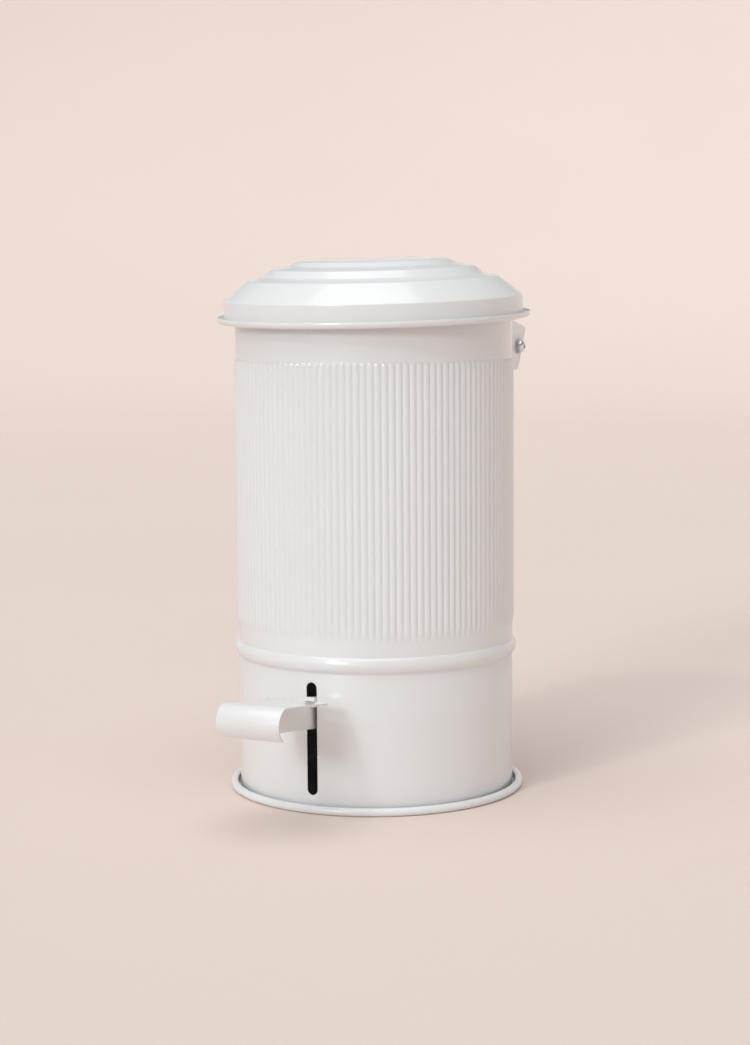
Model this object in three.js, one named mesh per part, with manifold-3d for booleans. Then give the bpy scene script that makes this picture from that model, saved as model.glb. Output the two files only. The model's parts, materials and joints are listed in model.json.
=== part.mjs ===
// A small round pedal bin in painted sheet steel: ribbed body on a curled base pan, stepped lid on a rear hinge,
// a flat-bar pedal lever that passes through the body, an outside push rod, and a lift-out bucket with a bail.
// Millimetres, +Z up. The origin is on the body's axis at floor level. The pedal points along -Y, the hinge along +Y.
import * as THREE from "three";
import { mergeVertices } from "three/addons/utils/BufferGeometryUtils.js";
import Module from "manifold-3d";

const wasm = await Module();
wasm.setup();

// ---- Driving dimensions -------------------------------------------------------------------------------------
const FIT = 0.3; // gap between pieces that touch
const SHEET = 0.7; // sheet of the body, the lid, the pan, the shelf and the bucket
const STRIP = 1.5; // sheet of the brackets, the hinge strap and the pedal pad
const BAR = 2.0; // flat bar of the lever and the crank

const BODY_R = 110; // outside of the body wall
const BODY_TOP = 384.5; // top of the body's rolled edge
const BODY_EDGE_R = 2.0; // radius of the rolled edge
const FOOT_FLANGE = 9; // inward flange at the foot of the body
const BEAD_Z = 114; // middle of the raised bead
const BEAD_HALF = 6; // half its height
const BEAD_PROUD = 2.7; // how far it stands out
const SLOT_WIDTH = 8.8; // lever slots in the body wall
const FRONT_SLOT_SPARE = { above: 11.2, below: 7.2 }; // room over the resting lever and under the pressed one
const REAR_SLOT_SPARE = 12.3; // room over and under the lever's tail

const PAN_LIP = 7; // the pan's curled edge stands out from the body wall by this much
const PAN_CURL_R = 3.2;
const PAN_CURL_END = THREE.MathUtils.degToRad(105);

const LID_TILT = THREE.MathUtils.degToRad(2.25); // the lid rests nose down by this much
const LID_GAP = 7.5; // body wall to the outside of the lid's skirt
const LID_CURL_R = 3.3;
const LID_CURL_END = THREE.MathUtils.degToRad(80);
const LID_SHOULDER_Z = 17.5; // top of the skirt above the lid's underside
const LID_CROWN = 0.8; // rise of the flat top to its middle
// The pressed steps of the lid's top: distance in from the skirt, and height above the lid's underside.
const LID_STEPS = [
  [18.9, 32.4],
  [30.9, 35.0],
  [37.3, 40.6],
  [51.5, 43.0],
  [57.0, 46.2],
  [61.5, 47.0],
];
const LID_OPENING = THREE.MathUtils.degToRad(65);

const HINGE_OUT = 21; // hinge axis behind the body wall
const HINGE_DROP = 38.5; // and below the body's top
const EAR_OUT = 68; // outer face of each hinge ear, from the middle
const EAR_BELOW = 19; // bottom and top of the ears from the hinge axis
const EAR_ABOVE = 22;
const EAR_FLANGE = THREE.MathUtils.degToRad(13); // width of an ear's flange round the body
const EAR_RIVET_INSET = 9; // rivets from the ear's ends
const EAR_RIVET_ANGLE = THREE.MathUtils.degToRad(7.5); // and from the ear round the body
const AXLE_R = 3;
const HINGE_SCREW_R = 2;
const HINGE_SCREW_HEAD = { r: 5, rise: 4 };
const WASHER = { r: 6, thick: 1.0 };
const STRAP_HALF = 25.5; // outer face of each arm of the lid's hinge strap
const WEB_ABOVE_CURL = 2.0; // the strap's web on the skirt, above the lid's curled edge
const WEB_DROP = 0.5; // and its top below the skirt's shoulder
const WEB_RIVET_X = 13; // its rivets from the middle
const CRANK_EYE_WALL = 2.75; // metal round the rod's hole in the crank
const CRANK_SPARE = 1.0; // body wall to the crank's eye as it swings past
const EYE_WALL = 5; // metal round the axle and pivot holes

const PIVOT_INSET = 49.8; // axis of the pedal lever in front of the rear wall
const PIVOT_Z = 53.2; // and above the floor
const LEVER_TILT = THREE.MathUtils.degToRad(7.2); // the pedal end rests raised by this much
const LEVER_TOP = 11.0; // top edge of the bar above the pivot line
const LEVER_BOTTOM = -10.2;
const TAIL_HALF = 6.5; // half the height of the lever's tail
const PAD_STANDOFF = 21.15; // rear edge of the pad from the body wall
const PAD_LENGTH = 76.4; // rear edge to front of the pad
const PAD_WIDTH = 52;
const PAD_CURL_R = 13; // outside of the pad's turned-down front
const PAD_CURL_END = THREE.MathUtils.degToRad(248);
const SHOE = { ahead: 4.1, behind: 18.7, top: 14, bottom: 6.5 }; // guide shoe, from the wall and the pivot line
const PIN_R = 3;
const CHEEK_INSIDE = 5; // inner face of each bracket cheek, from the middle
const BRACKET_HALF = 24; // half the length of the lever bracket's base
const BRACKET_TOE = 8; // height of its ends

const ROD_R = 2.25; // push-rod wire
const ROD_X = 7;
const ROD_BEND_R = 5;
const ROD_PLAY = 0.8; // the rod hooks loosely into the lever and the crank
const ROD_HOOK_SPARE = 3.4; // hook beyond its clip
const GUIDE_ABOVE_BEAD = 36; // height of the lower rod guide above the bead
const GUIDE_BELOW_HINGE = 56; // height of the upper one below the hinge
const GUIDE_HEIGHT = 12;
const GUIDE_BORE_SPARE = 0.5; // guide to the rod
const GUIDE_RIVET_ANGLE = THREE.MathUtils.degToRad(6.8);
const GUIDE_FLANGE_END = THREE.MathUtils.degToRad(2.4); // guide's flange beyond its rivets

const SHELF_RISE = 3; // top of the bucket shelf above the middle of the bead
const SHELF_FLANGE = 9;
const BUCKET_GAP = 11; // body wall to the outside of the bucket at its rim
const BUCKET_TAPER = 4; // the bucket's base is smaller by this much
const BUCKET_CORNER = 5;
const BUCKET_DROP = 20.5; // rim of the bucket below the body's top
const BUCKET_RIM_R = 1.8;
const BAIL_R = 1.75; // bail wire
const BAIL_PIVOT_DROP = 10; // bail pivot below the bucket's rim
const BAIL_SPARE = 0.6; // bail to the bucket's rolled rim
const LUG = { half: 9, thick: 1.2, low: -13, high: 4 };

const RIVET = { shank: 1.8, head: 3.4, rise: 1.5, brim: 0.4, tail: 1.2 };
const CLIP = 0.8; // thickness of the push-on clips
const BUFFER = { r: 5, thick: 2.0, out: 1.2, angle: THREE.MathUtils.degToRad(150) };
const BUFFER_SPARE = 0.35; // buffers to the body's rolled edge

// ---- Places that follow from them ---------------------------------------------------------------------------
const LID_SKIRT_R = BODY_R + LID_GAP;
const PIVOT = { y: BODY_R - PIVOT_INSET, z: PIVOT_Z };
const EDGE_R = BODY_R + BODY_EDGE_R - SHEET / 2; // centre of the body's rolled edge
const EDGE_Z = BODY_TOP - BODY_EDGE_R;
const SLOPE = Math.atan2(LID_STEPS[0][1] - LID_SHOULDER_Z, LID_STEPS[0][0]); // of the lid above its skirt
const BUFFER_R = BODY_R + BUFFER.out;
const BUFFER_Z = LID_SHOULDER_Z + (LID_SKIRT_R - BUFFER_R) * Math.tan(SLOPE) - SHEET / Math.cos(SLOPE) - 2 * FIT;
const LID_Z = lidSeat(); // lid's underside on the body axis
const WEB = { low: 2 * LID_CURL_R + WEB_ABOVE_CURL, high: LID_SHOULDER_Z - WEB_DROP };
const HINGE = { y: BODY_R + HINGE_OUT, z: BODY_TOP - HINGE_DROP };
const EAR = { low: HINGE.z - EAR_BELOW, high: HINGE.z + EAR_ABOVE };
const CRANK_EYE = ROD_R + ROD_PLAY + CRANK_EYE_WALL;
const CRANK_R = HINGE_OUT - CRANK_SPARE - CRANK_EYE; // hinge axis to push-rod pin
const ROD_Y = HINGE.y - CRANK_R * Math.cos(LID_OPENING / 2);
const TAIL_REACH = (ROD_Y - PIVOT.y) / Math.cos(LEVER_TILT); // lever pivot to push-rod pin
const LEVER_TRAVEL = 2 * Math.asin((CRANK_R * Math.sin(LID_OPENING / 2)) / TAIL_REACH);
const WALL_REACH = (BODY_R + PIVOT.y) / Math.cos(LEVER_TILT); // lever pivot to the front of the body wall
const PAD_REACH = WALL_REACH + PAD_STANDOFF / Math.cos(LEVER_TILT) + PAD_LENGTH; // pivot to the pad's front
const GUIDE_Z = [BEAD_Z + GUIDE_ABOVE_BEAD, HINGE.z - GUIDE_BELOW_HINGE];
const SHELF_Z = BEAD_Z + SHELF_RISE;
const BUCKET_R = BODY_R - BUCKET_GAP;
const BUCKET_BASE_R = BUCKET_R - BUCKET_TAPER;
const BUCKET_TOP = BODY_TOP - BUCKET_DROP;

// Height at which the tilted lid's buffers stand just over the body's rolled edge.
function lidSeat() {
  const across = Math.sin(SLOPE) * (BUFFER_R - EDGE_R);
  const along = Math.cos(SLOPE) * BUFFER_Z - BUFFER.thick - BODY_EDGE_R - BUFFER_SPARE;
  const edgeInLid = (across + along) / Math.cos(SLOPE);
  const y = EDGE_R * Math.cos(BUFFER.angle);
  return EDGE_Z - (edgeInLid + y * Math.sin(LID_TILT)) / Math.cos(LID_TILT);
}

// ---- Materials ----------------------------------------------------------------------------------------------
const finish = (color, roughness, metalness) => new THREE.MeshStandardMaterial({ color, roughness, metalness });
const white = () => finish(0xe9e8e5, 0.35, 0.0);
const zinc = () => finish(0xb4b6b8, 0.4, 1.0);
const chrome = () => finish(0xd4d6d9, 0.12, 1.0);
const nylon = () => finish(0xdedcd6, 0.5, 0.0);
const rubber = () => finish(0x2b2b2c, 0.8, 0.0);

// ---- Geometry helpers ---------------------------------------------------------------------------------------
const TURN = 2 * Math.PI;
const SIDES = 48; // facets round the large turned pieces
const v2 = (x, y) => new THREE.Vector2(x, y);
const facetSag = (r) => r * (1 - Math.cos(Math.PI / SIDES)); // how far a facet's middle lies inside its circle

// Points of an arc about (r, z), from one angle to another.
function arc(r, z, radius, from, to, steps) {
  const points = [];
  for (let i = 0; i <= steps; i++) {
    const a = from + ((to - from) * i) / steps;
    points.push(v2(r + radius * Math.cos(a), z + radius * Math.sin(a)));
  }
  return points;
}

// A turned piece about Z from a closed profile of (radius, height) points.
function turned(profile, sides) {
  const closed = profile[0].x < 1e-6 ? profile : [...profile, profile[0].clone()];
  const geometry = new THREE.LatheGeometry(closed, sides);
  geometry.rotateX(Math.PI / 2);
  return geometry;
}

// A round bar along Z between two heights.
function bar(radius, low, high, sides = 16) {
  return turned([v2(0, low), v2(radius, low), v2(radius, high), v2(0, high)], sides);
}

// A ring along Z between two heights.
function ring(inner, outer, low, high, sides = 20) {
  return turned([v2(inner, low), v2(outer, low), v2(outer, high), v2(inner, high)], sides);
}

// Turns a piece made along Z so that it runs along X.
const alongX = (geometry) => geometry.rotateY(Math.PI / 2);

function polygon(points) {
  return new THREE.Shape(points.map(([x, y]) => v2(x, y)));
}

// A flat plate between two X positions, from an outline of (y, z) points.
function plateYZ(outline, x0, x1) {
  const geometry = new THREE.ExtrudeGeometry(polygon(outline), { depth: x1 - x0, bevelEnabled: false });
  const frame = new THREE.Matrix4().makeBasis(
    new THREE.Vector3(0, 1, 0),
    new THREE.Vector3(0, 0, 1),
    new THREE.Vector3(1, 0, 0),
  );
  return geometry.applyMatrix4(frame).translate(x0, 0, 0);
}

// A plate that follows a circle about Z, between two radii, two heights and two angles from +Y.
function curvedPlate(inner, outer, low, high, from, to, steps = 8) {
  const points = [
    ...arc(0, 0, outer, Math.PI / 2 - from, Math.PI / 2 - to, steps),
    ...arc(0, 0, inner, Math.PI / 2 - to, Math.PI / 2 - from, steps),
  ];
  const geometry = new THREE.ExtrudeGeometry(new THREE.Shape(points), { depth: high - low, bevelEnabled: false });
  return geometry.translate(0, 0, low);
}

// Outline of a boss with a straight-sided arm, as [y, z] points around a centre.
function circlePoints(y, z, radius, from, to, steps) {
  return arc(y, z, radius, from, to, steps).map((p) => [p.x, p.y]);
}

// A closed geometry as a manifold solid.
function solid(geometry) {
  const bare = new THREE.BufferGeometry();
  const flat = geometry.index ? geometry.toNonIndexed() : geometry;
  bare.setAttribute("position", flat.getAttribute("position").clone());
  const merged = mergeVertices(bare, 1e-4);
  const index = merged.index.array;
  const triangles = [];
  for (let i = 0; i < index.length; i += 3) {
    const [a, b, c] = [index[i], index[i + 1], index[i + 2]];
    if (a !== b && b !== c && c !== a) triangles.push(a, b, c);
  }
  const build = (list) =>
    new wasm.Manifold(
      new wasm.Mesh({
        numProp: 3,
        vertProperties: merged.getAttribute("position").array,
        triVerts: new Uint32Array(list),
      }),
    );
  const made = build(triangles);
  return made.volume() > 0 ? made : build(triangles.reverse());
}

// A manifold solid as a three.js geometry.
function geometryOf(made) {
  const mesh = made.getMesh();
  const geometry = new THREE.BufferGeometry();
  geometry.setAttribute("position", new THREE.BufferAttribute(new Float32Array(mesh.vertProperties), 3));
  geometry.setIndex(new THREE.BufferAttribute(new Uint32Array(mesh.triVerts), 1));
  const flat = geometry.toNonIndexed();
  flat.computeVertexNormals();
  return flat;
}

const join = (...parts) => geometryOf(parts.map(solid).reduce((a, b) => a.add(b)));
const cut = (part, ...holes) => geometryOf(holes.map(solid).reduce((a, b) => a.subtract(b), solid(part)));

function piece(group, name, geometry, material) {
  const mesh = new THREE.Mesh(geometryOf(solid(geometry)), material);
  mesh.name = name;
  group.add(mesh);
  return mesh;
}

// A wire through chosen points: the sections stand at the points themselves.
class Wire extends THREE.Curve {
  constructor(points) {
    super();
    this.points = points;
  }

  getPoint(t) {
    const last = this.points.length - 1;
    const at = Math.min(t * last, last - 1e-9);
    const i = Math.floor(at);
    return this.points[i].clone().lerp(this.points[i + 1], at - i);
  }

  getPointAt(u) {
    return this.getPoint(u);
  }

  getTangentAt(u) {
    const last = this.points.length - 1;
    const i = Math.round(u * last);
    const before = this.points[Math.max(i - 1, 0)];
    const after = this.points[Math.min(i + 1, last)];
    return after.clone().sub(before).normalize();
  }
}

function wire(points, radius, sides = 8) {
  const section = new THREE.Shape(arc(0, 0, radius, 0, TURN * (1 - 1 / sides), sides - 1));
  const path = new Wire(points);
  return new THREE.ExtrudeGeometry(section, { steps: points.length - 1, extrudePath: path, bevelEnabled: false });
}

// A rivet along +Y from its head's seat (at y = 0, head outwards) through a grip, with a formed tail.
function rivet(grip) {
  const { shank, head, rise, brim } = RIVET;
  const tail = 0.8 * head;
  const dome = arc(0, 0, 1, 0, Math.PI / 2, 3).map((p) => v2(head * p.x, brim + (rise - brim) * p.y));
  const profile = [
    v2(0, -grip - RIVET.tail),
    v2(tail, -grip - RIVET.tail),
    v2(tail, -grip),
    v2(shank, -grip),
    v2(shank, 0),
    v2(head, 0),
    ...dome,
  ];
  profile[profile.length - 1].x = 0;
  return turned(profile, 12).rotateX(-Math.PI / 2);
}

const rivetHole = (depth) => bar(RIVET.shank + FIT, -depth, depth, 12).rotateX(-Math.PI / 2);

// Puts a piece made along +Y at a radius, a height and an angle from +Y.
function placeRadial(geometry, radius, z, angle) {
  return geometry.translate(0, radius, z).rotateZ(-angle);
}

// A straight slot with round ends, cut through the wall along Y.
function slotCutter({ low, high }, y) {
  const r = SLOT_WIDTH / 2;
  const outline = new THREE.Shape([
    ...arc(0, high - r, r, 0, Math.PI, 8),
    ...arc(0, low + r, r, Math.PI, TURN, 8),
  ]);
  const geometry = new THREE.ExtrudeGeometry(outline, { depth: 12, bevelEnabled: false });
  return geometry.rotateX(Math.PI / 2).translate(0, y + 6, 0);
}

// ---- Frames of the moving groups ----------------------------------------------------------------------------
const bin = new THREE.Group();

const lidGroup = new THREE.Group();
lidGroup.position.set(0, 0, LID_Z);
lidGroup.rotation.x = LID_TILT;
bin.add(lidGroup);

// A point of the hinge plane, given in the part's frame, in the lid's own frame.
function inLid(y, z) {
  const dz = z - LID_Z;
  return [y * Math.cos(LID_TILT) + dz * Math.sin(LID_TILT), -y * Math.sin(LID_TILT) + dz * Math.cos(LID_TILT)];
}

const leverGroup = new THREE.Group();
leverGroup.position.set(0, PIVOT.y, PIVOT.z);
leverGroup.rotation.x = -LEVER_TILT;
bin.add(leverGroup);

// ---- Linkage positions at rest ------------------------------------------------------------------------------
const tailPin = {
  y: PIVOT.y + TAIL_REACH * Math.cos(LEVER_TILT),
  z: PIVOT.z - TAIL_REACH * Math.sin(LEVER_TILT),
};
const crankPin = {
  y: HINGE.y - CRANK_R * Math.cos(LID_OPENING / 2),
  z: HINGE.z - CRANK_R * Math.sin(LID_OPENING / 2),
};

// ---- Body ---------------------------------------------------------------------------------------------------
const footZ = SHEET + FIT;
const bodyInside = BODY_R - SHEET;
const leverPressed = LEVER_TRAVEL - LEVER_TILT;
const frontSlot = {
  high:
    PIVOT.z + (BODY_R + PIVOT.y) * Math.tan(LEVER_TILT) + SHOE.top / Math.cos(LEVER_TILT) + FRONT_SLOT_SPARE.above,
  low:
    PIVOT.z -
    (BODY_R + PIVOT.y) * Math.tan(leverPressed) +
    LEVER_BOTTOM / Math.cos(leverPressed) -
    FRONT_SLOT_SPARE.below,
};
const rearSlot = {
  high: PIVOT.z + (BODY_R - PIVOT.y) * Math.tan(leverPressed) + TAIL_HALF + REAR_SLOT_SPARE,
  low: PIVOT.z - (BODY_R - PIVOT.y) * Math.tan(LEVER_TILT) - TAIL_HALF - REAR_SLOT_SPARE,
};
const guideAngle = Math.atan2(ROD_X, ROD_Y);
const guideRadius = Math.hypot(ROD_X, ROD_Y);
const earFlange = {
  from: Math.asin((EAR_OUT - STRIP / 2) / (BODY_R + FIT)),
  to: Math.asin((EAR_OUT - STRIP / 2) / (BODY_R + FIT)) - EAR_FLANGE,
};
const earRivets = [EAR.low + EAR_RIVET_INSET, EAR.high - EAR_RIVET_INSET];
const earRivetAngle = earFlange.from - EAR_RIVET_ANGLE;

// One side of the raised bead: a shallow bulge between two heights, on a wall of the given radius.
function beadPoints(wall, steps) {
  return Array.from({ length: steps + 1 }, (_, i) => {
    const t = i / steps;
    return v2(wall + BEAD_PROUD * Math.sin(Math.PI * t) ** 0.8, BEAD_Z + BEAD_HALF * (2 * t - 1));
  });
}

function bodyShell() {
  const profile = [
    v2(BODY_R - FOOT_FLANGE, footZ),
    v2(BODY_R, footZ),
    ...beadPoints(BODY_R, 5),
    ...arc(EDGE_R, EDGE_Z, BODY_EDGE_R, -0.75 * Math.PI, 0.9 * Math.PI, 5),
    v2(bodyInside, EDGE_Z - BODY_EDGE_R),
    ...beadPoints(bodyInside, 5).reverse(),
    v2(bodyInside, footZ + SHEET),
    v2(BODY_R - FOOT_FLANGE, footZ + SHEET),
  ];
  const holes = [slotCutter(frontSlot, -BODY_R), slotCutter(rearSlot, BODY_R)];
  for (const z of GUIDE_Z) {
    for (const side of [-1, 1]) {
      holes.push(placeRadial(rivetHole(4), BODY_R, z, guideAngle + side * GUIDE_RIVET_ANGLE));
    }
  }
  for (const z of earRivets) {
    for (const side of [-1, 1]) {
      holes.push(placeRadial(rivetHole(4), BODY_R, z, side * earRivetAngle));
    }
  }
  return cut(turned(profile, SIDES), ...holes);
}
piece(bin, "body_shell", bodyShell(), white());

function basePan() {
  const r = BODY_R + PAN_LIP - PAN_CURL_R;
  return turned(
    [
      v2(0, 0),
      ...arc(r, PAN_CURL_R, PAN_CURL_R, -Math.PI / 2, PAN_CURL_END, 6),
      ...arc(r, PAN_CURL_R, PAN_CURL_R - SHEET, PAN_CURL_END, -Math.PI / 2, 4),
      v2(0, SHEET),
    ],
    SIDES,
  );
}
piece(bin, "base_pan", basePan(), white());

function bucketShelf() {
  const r = bodyInside - FIT;
  return turned(
    [
      v2(0, SHELF_Z - SHEET),
      v2(r - SHEET, SHELF_Z - SHEET),
      v2(r - SHEET, SHELF_Z - SHELF_FLANGE),
      v2(r, SHELF_Z - SHELF_FLANGE),
      v2(r, SHELF_Z - 1),
      v2(r - 1, SHELF_Z),
      v2(0, SHELF_Z),
    ],
    44,
  );
}
piece(bin, "bucket_shelf", bucketShelf(), zinc());

// ---- Lever bracket and pivot --------------------------------------------------------------------------------
const cheekOut = CHEEK_INSIDE + STRIP;

function leverBracket() {
  const baseLow = SHEET + FIT;
  const half = BRACKET_HALF;
  const outline = [
    [PIVOT.y - half, baseLow],
    [PIVOT.y + half, baseLow],
    [PIVOT.y + half, baseLow + BRACKET_TOE],
    ...circlePoints(PIVOT.y, PIVOT.z, PIN_R + EYE_WALL, 0, Math.PI, 8),
    [PIVOT.y - half, baseLow + BRACKET_TOE],
  ];
  const base = new THREE.BoxGeometry(2 * cheekOut, 2 * half, STRIP);
  base.translate(0, PIVOT.y, baseLow + STRIP / 2);
  const cheeks = [-1, 1].map((side) => {
    const inner = side * CHEEK_INSIDE;
    const outer = side * cheekOut;
    return plateYZ(outline, Math.min(inner, outer), Math.max(inner, outer));
  });
  const hole = alongX(bar(PIN_R + FIT, -cheekOut - 1, cheekOut + 1)).translate(0, PIVOT.y, PIVOT.z);
  return cut(join(base, ...cheeks), hole);
}
piece(bin, "lever_bracket", leverBracket(), zinc());

const clipSeat = cheekOut + FIT;
const PIN_HEAD = { proud: 1.6, thick: 1.8, bevel: 0.5 };
const PIN_SPARE = 1.4; // pin beyond its clip
const pinEnd = clipSeat + CLIP + PIN_SPARE;
const pivotPin = turned(
  [
    v2(0, -pinEnd),
    v2(PIN_R - PIN_HEAD.bevel, -pinEnd),
    v2(PIN_R, -pinEnd + PIN_HEAD.bevel),
    v2(PIN_R, clipSeat),
    v2(PIN_R + PIN_HEAD.proud, clipSeat),
    v2(PIN_R + PIN_HEAD.proud, clipSeat + PIN_HEAD.thick - PIN_HEAD.bevel),
    v2(PIN_R + PIN_HEAD.proud - PIN_HEAD.bevel, clipSeat + PIN_HEAD.thick),
    v2(0, clipSeat + PIN_HEAD.thick),
  ],
  20,
);
piece(bin, "lever_pin", alongX(pivotPin).translate(0, PIVOT.y, PIVOT.z), zinc());
const pinClip = alongX(ring(PIN_R + FIT, PIN_R + 2.6, -clipSeat - CLIP, -clipSeat));
piece(bin, "lever_pin_clip", pinClip.translate(0, PIVOT.y, PIVOT.z), zinc());
for (const [side, name] of [[-1, "left"], [1, "right"]]) {
  const near = side * (BAR / 2 + FIT);
  const far = side * (CHEEK_INSIDE - FIT);
  const bush = alongX(ring(PIN_R + FIT, PIN_R + 2.5, Math.min(near, far), Math.max(near, far)));
  piece(bin, `lever_spacer_${name}`, bush.translate(0, PIVOT.y, PIVOT.z), nylon());
}

// ---- Pedal lever, pad and guide shoe ------------------------------------------------------------------------
const padCurlY = -PAD_REACH + PAD_CURL_R; // centre of the pad's front curl, in the lever's frame
const padTop = LEVER_TOP + FIT + STRIP;
const PIVOT_SHOULDER = 20; // the bar keeps its full height up to this far from the pivot
const TAIL_SHOULDER = 18;

function pedalLever() {
  const outline = [
    [padCurlY, LEVER_BOTTOM],
    [-PIVOT_SHOULDER, LEVER_BOTTOM],
    [TAIL_REACH - TAIL_SHOULDER, -TAIL_HALF],
    ...circlePoints(TAIL_REACH, 0, TAIL_HALF, -Math.PI / 2, Math.PI / 2, 8),
    [TAIL_REACH - TAIL_SHOULDER, TAIL_HALF],
    [-PIVOT_SHOULDER, LEVER_TOP],
    [padCurlY, LEVER_TOP],
  ];
  const plate = plateYZ(outline, -BAR / 2, BAR / 2);
  const pivotHole = alongX(bar(PIN_R + FIT, -BAR, BAR));
  const tailHole = alongX(bar(ROD_R + ROD_PLAY, -BAR, BAR)).translate(0, TAIL_REACH, 0);
  return cut(plate, pivotHole, tailHole);
}
piece(leverGroup, "pedal_lever", pedalLever(), white());

function pedalPad() {
  const centreZ = padTop - PAD_CURL_R;
  const outline = [
    [padCurlY + PAD_LENGTH - PAD_CURL_R, padTop],
    ...circlePoints(padCurlY, centreZ, PAD_CURL_R, Math.PI / 2, PAD_CURL_END, 14),
    ...circlePoints(padCurlY, centreZ, PAD_CURL_R - STRIP, PAD_CURL_END, Math.PI / 2, 12),
    [padCurlY + PAD_LENGTH - PAD_CURL_R, padTop - STRIP],
  ];
  return plateYZ(outline, -PAD_WIDTH / 2, PAD_WIDTH / 2);
}
piece(leverGroup, "pedal_pad", pedalPad(), white());

function guideShoe() {
  const front = -WALL_REACH - SHOE.ahead;
  const back = -WALL_REACH + SHOE.behind;
  const bevel = 0.8;
  const outline = [
    [front, SHOE.bottom],
    [back, SHOE.bottom],
    [back, SHOE.top - bevel],
    [back - bevel, SHOE.top],
    [front + bevel, SHOE.top],
    [front, SHOE.top - bevel],
  ];
  const half = SLOT_WIDTH / 2 - FIT;
  const block = plateYZ(outline, -half, half);
  const grip = new THREE.BoxGeometry(BAR + 2 * FIT, 2 * (SHOE.ahead + SHOE.behind), LEVER_TOP - LEVER_BOTTOM);
  grip.translate(0, (front + back) / 2, LEVER_TOP + FIT - (LEVER_TOP - LEVER_BOTTOM) / 2);
  return cut(block, grip);
}
piece(leverGroup, "lever_guide_shoe", guideShoe(), nylon());

// ---- Push rod -----------------------------------------------------------------------------------------------
const clipAt = -BAR / 2 - ROD_PLAY; // face of each clip beside the bar
const hookEnd = clipAt - CLIP - ROD_HOOK_SPARE;

// Points of a quarter bend in the rod's plane, from one heading to the next.
function bend(cx, cz, from, to) {
  return arc(cx, cz, ROD_BEND_R, from, to, 4).map((p) => new THREE.Vector3(p.x, ROD_Y, p.y));
}

const rodLow = tailPin.z;
const rodHigh = crankPin.z;
const pushRod = wire(
  [
    new THREE.Vector3(hookEnd, ROD_Y, rodLow),
    ...bend(ROD_X - ROD_BEND_R, rodLow + ROD_BEND_R, -Math.PI / 2, 0),
    ...bend(ROD_X - ROD_BEND_R, rodHigh - ROD_BEND_R, 0, Math.PI / 2),
    new THREE.Vector3(hookEnd, ROD_Y, rodHigh),
  ],
  ROD_R,
  10,
);
piece(bin, "push_rod", pushRod, zinc());
for (const [name, z] of [["lower", rodLow], ["upper", rodHigh]]) {
  const clip = alongX(ring(ROD_R + FIT, ROD_R + 3, clipAt - CLIP, clipAt, 16));
  piece(bin, `rod_clip_${name}`, clip.translate(0, ROD_Y, z), zinc());
}

// A strap over the rod, with a flange each side that lies on the body.
function rodGuide(z) {
  const seat = BODY_R + FIT;
  const inside = ROD_R + GUIDE_BORE_SPARE;
  const outside = inside + STRIP;
  const flangeEnd = GUIDE_RIVET_ANGLE + GUIDE_FLANGE_END;
  const foot = seat + 0.4; // the loop's feet sink into the flanges
  const loop = new THREE.Shape([
    ...arc(0, guideRadius, outside, 0, Math.PI, 8),
    ...[v2(-outside, foot), v2(-inside, foot)],
    ...arc(0, guideRadius, inside, Math.PI, 0, 8),
    ...[v2(inside, foot), v2(outside, foot)],
  ]);
  const strap = new THREE.ExtrudeGeometry(loop, { depth: GUIDE_HEIGHT, bevelEnabled: false });
  const low = z - GUIDE_HEIGHT / 2;
  strap.translate(0, 0, low);
  const inner = Math.asin(inside / seat);
  const flanges = [-1, 1].map((side) => {
    const a = side * inner;
    const b = side * flangeEnd;
    return curvedPlate(seat, seat + STRIP, low, low + GUIDE_HEIGHT, Math.min(a, b), Math.max(a, b), 4);
  });
  const holes = [-1, 1].map((side) => placeRadial(rivetHole(4), seat, z, side * GUIDE_RIVET_ANGLE));
  return cut(join(strap, ...flanges), ...holes).rotateZ(-guideAngle);
}

const wallGrip = SHEET + STRIP + 3 * FIT + facetSag(BODY_R); // rivet grip through the body wall and a bracket
GUIDE_Z.forEach((z, i) => {
  const name = ["lower", "upper"][i];
  piece(bin, `rod_guide_${name}`, rodGuide(z), zinc());
  for (const [side, hand] of [[-1, "left"], [1, "right"]]) {
    const seat = BODY_R + STRIP + 2 * FIT;
    const fixing = placeRadial(rivet(wallGrip), seat, z, guideAngle + side * GUIDE_RIVET_ANGLE);
    piece(bin, `guide_rivet_${name}_${hand}`, fixing, zinc());
  }
});

// ---- Hinge brackets, axle and screws ------------------------------------------------------------------------
const earIn = EAR_OUT - STRIP;

function hingeBracket(side) {
  const seat = BODY_R + FIT;
  const wallY = Math.sqrt(seat ** 2 - earIn ** 2);
  const outline = [
    [wallY, EAR.low],
    [HINGE.y - 4, EAR.low],
    [HINGE.y, EAR.low + 1.5],
    [HINGE.y + 14.4, EAR.high - 9],
    [HINGE.y + 13.4, EAR.high - 6.6],
    [HINGE.y - 12, EAR.high],
    [wallY, EAR.high],
  ];
  const ear = plateYZ(outline, earIn, EAR_OUT);
  const flange = curvedPlate(seat, seat + STRIP, EAR.low, EAR.high, earFlange.to, earFlange.from + 0.004);
  const holes = [alongX(bar(HINGE_SCREW_R + FIT, earIn - 3, EAR_OUT + 3)).translate(0, HINGE.y, HINGE.z)];
  for (const z of earRivets) {
    holes.push(placeRadial(rivetHole(4), seat, z, earRivetAngle));
  }
  return cut(join(ear, flange), ...holes).scale(side, 1, 1);
}

const axleEnd = earIn - FIT;
const axleBore = 9;
const axleBores = [-1, 1].map((side) => {
  const [low, high] = side < 0 ? [-axleEnd - 1, -axleEnd + axleBore] : [axleEnd - axleBore, axleEnd + 1];
  return alongX(bar(HINGE_SCREW_R + FIT, low, high, 12));
});
const axle = cut(alongX(bar(AXLE_R, -axleEnd, axleEnd)), ...axleBores);
piece(bin, "hinge_axle", axle.translate(0, HINGE.y, HINGE.z), zinc());

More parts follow.
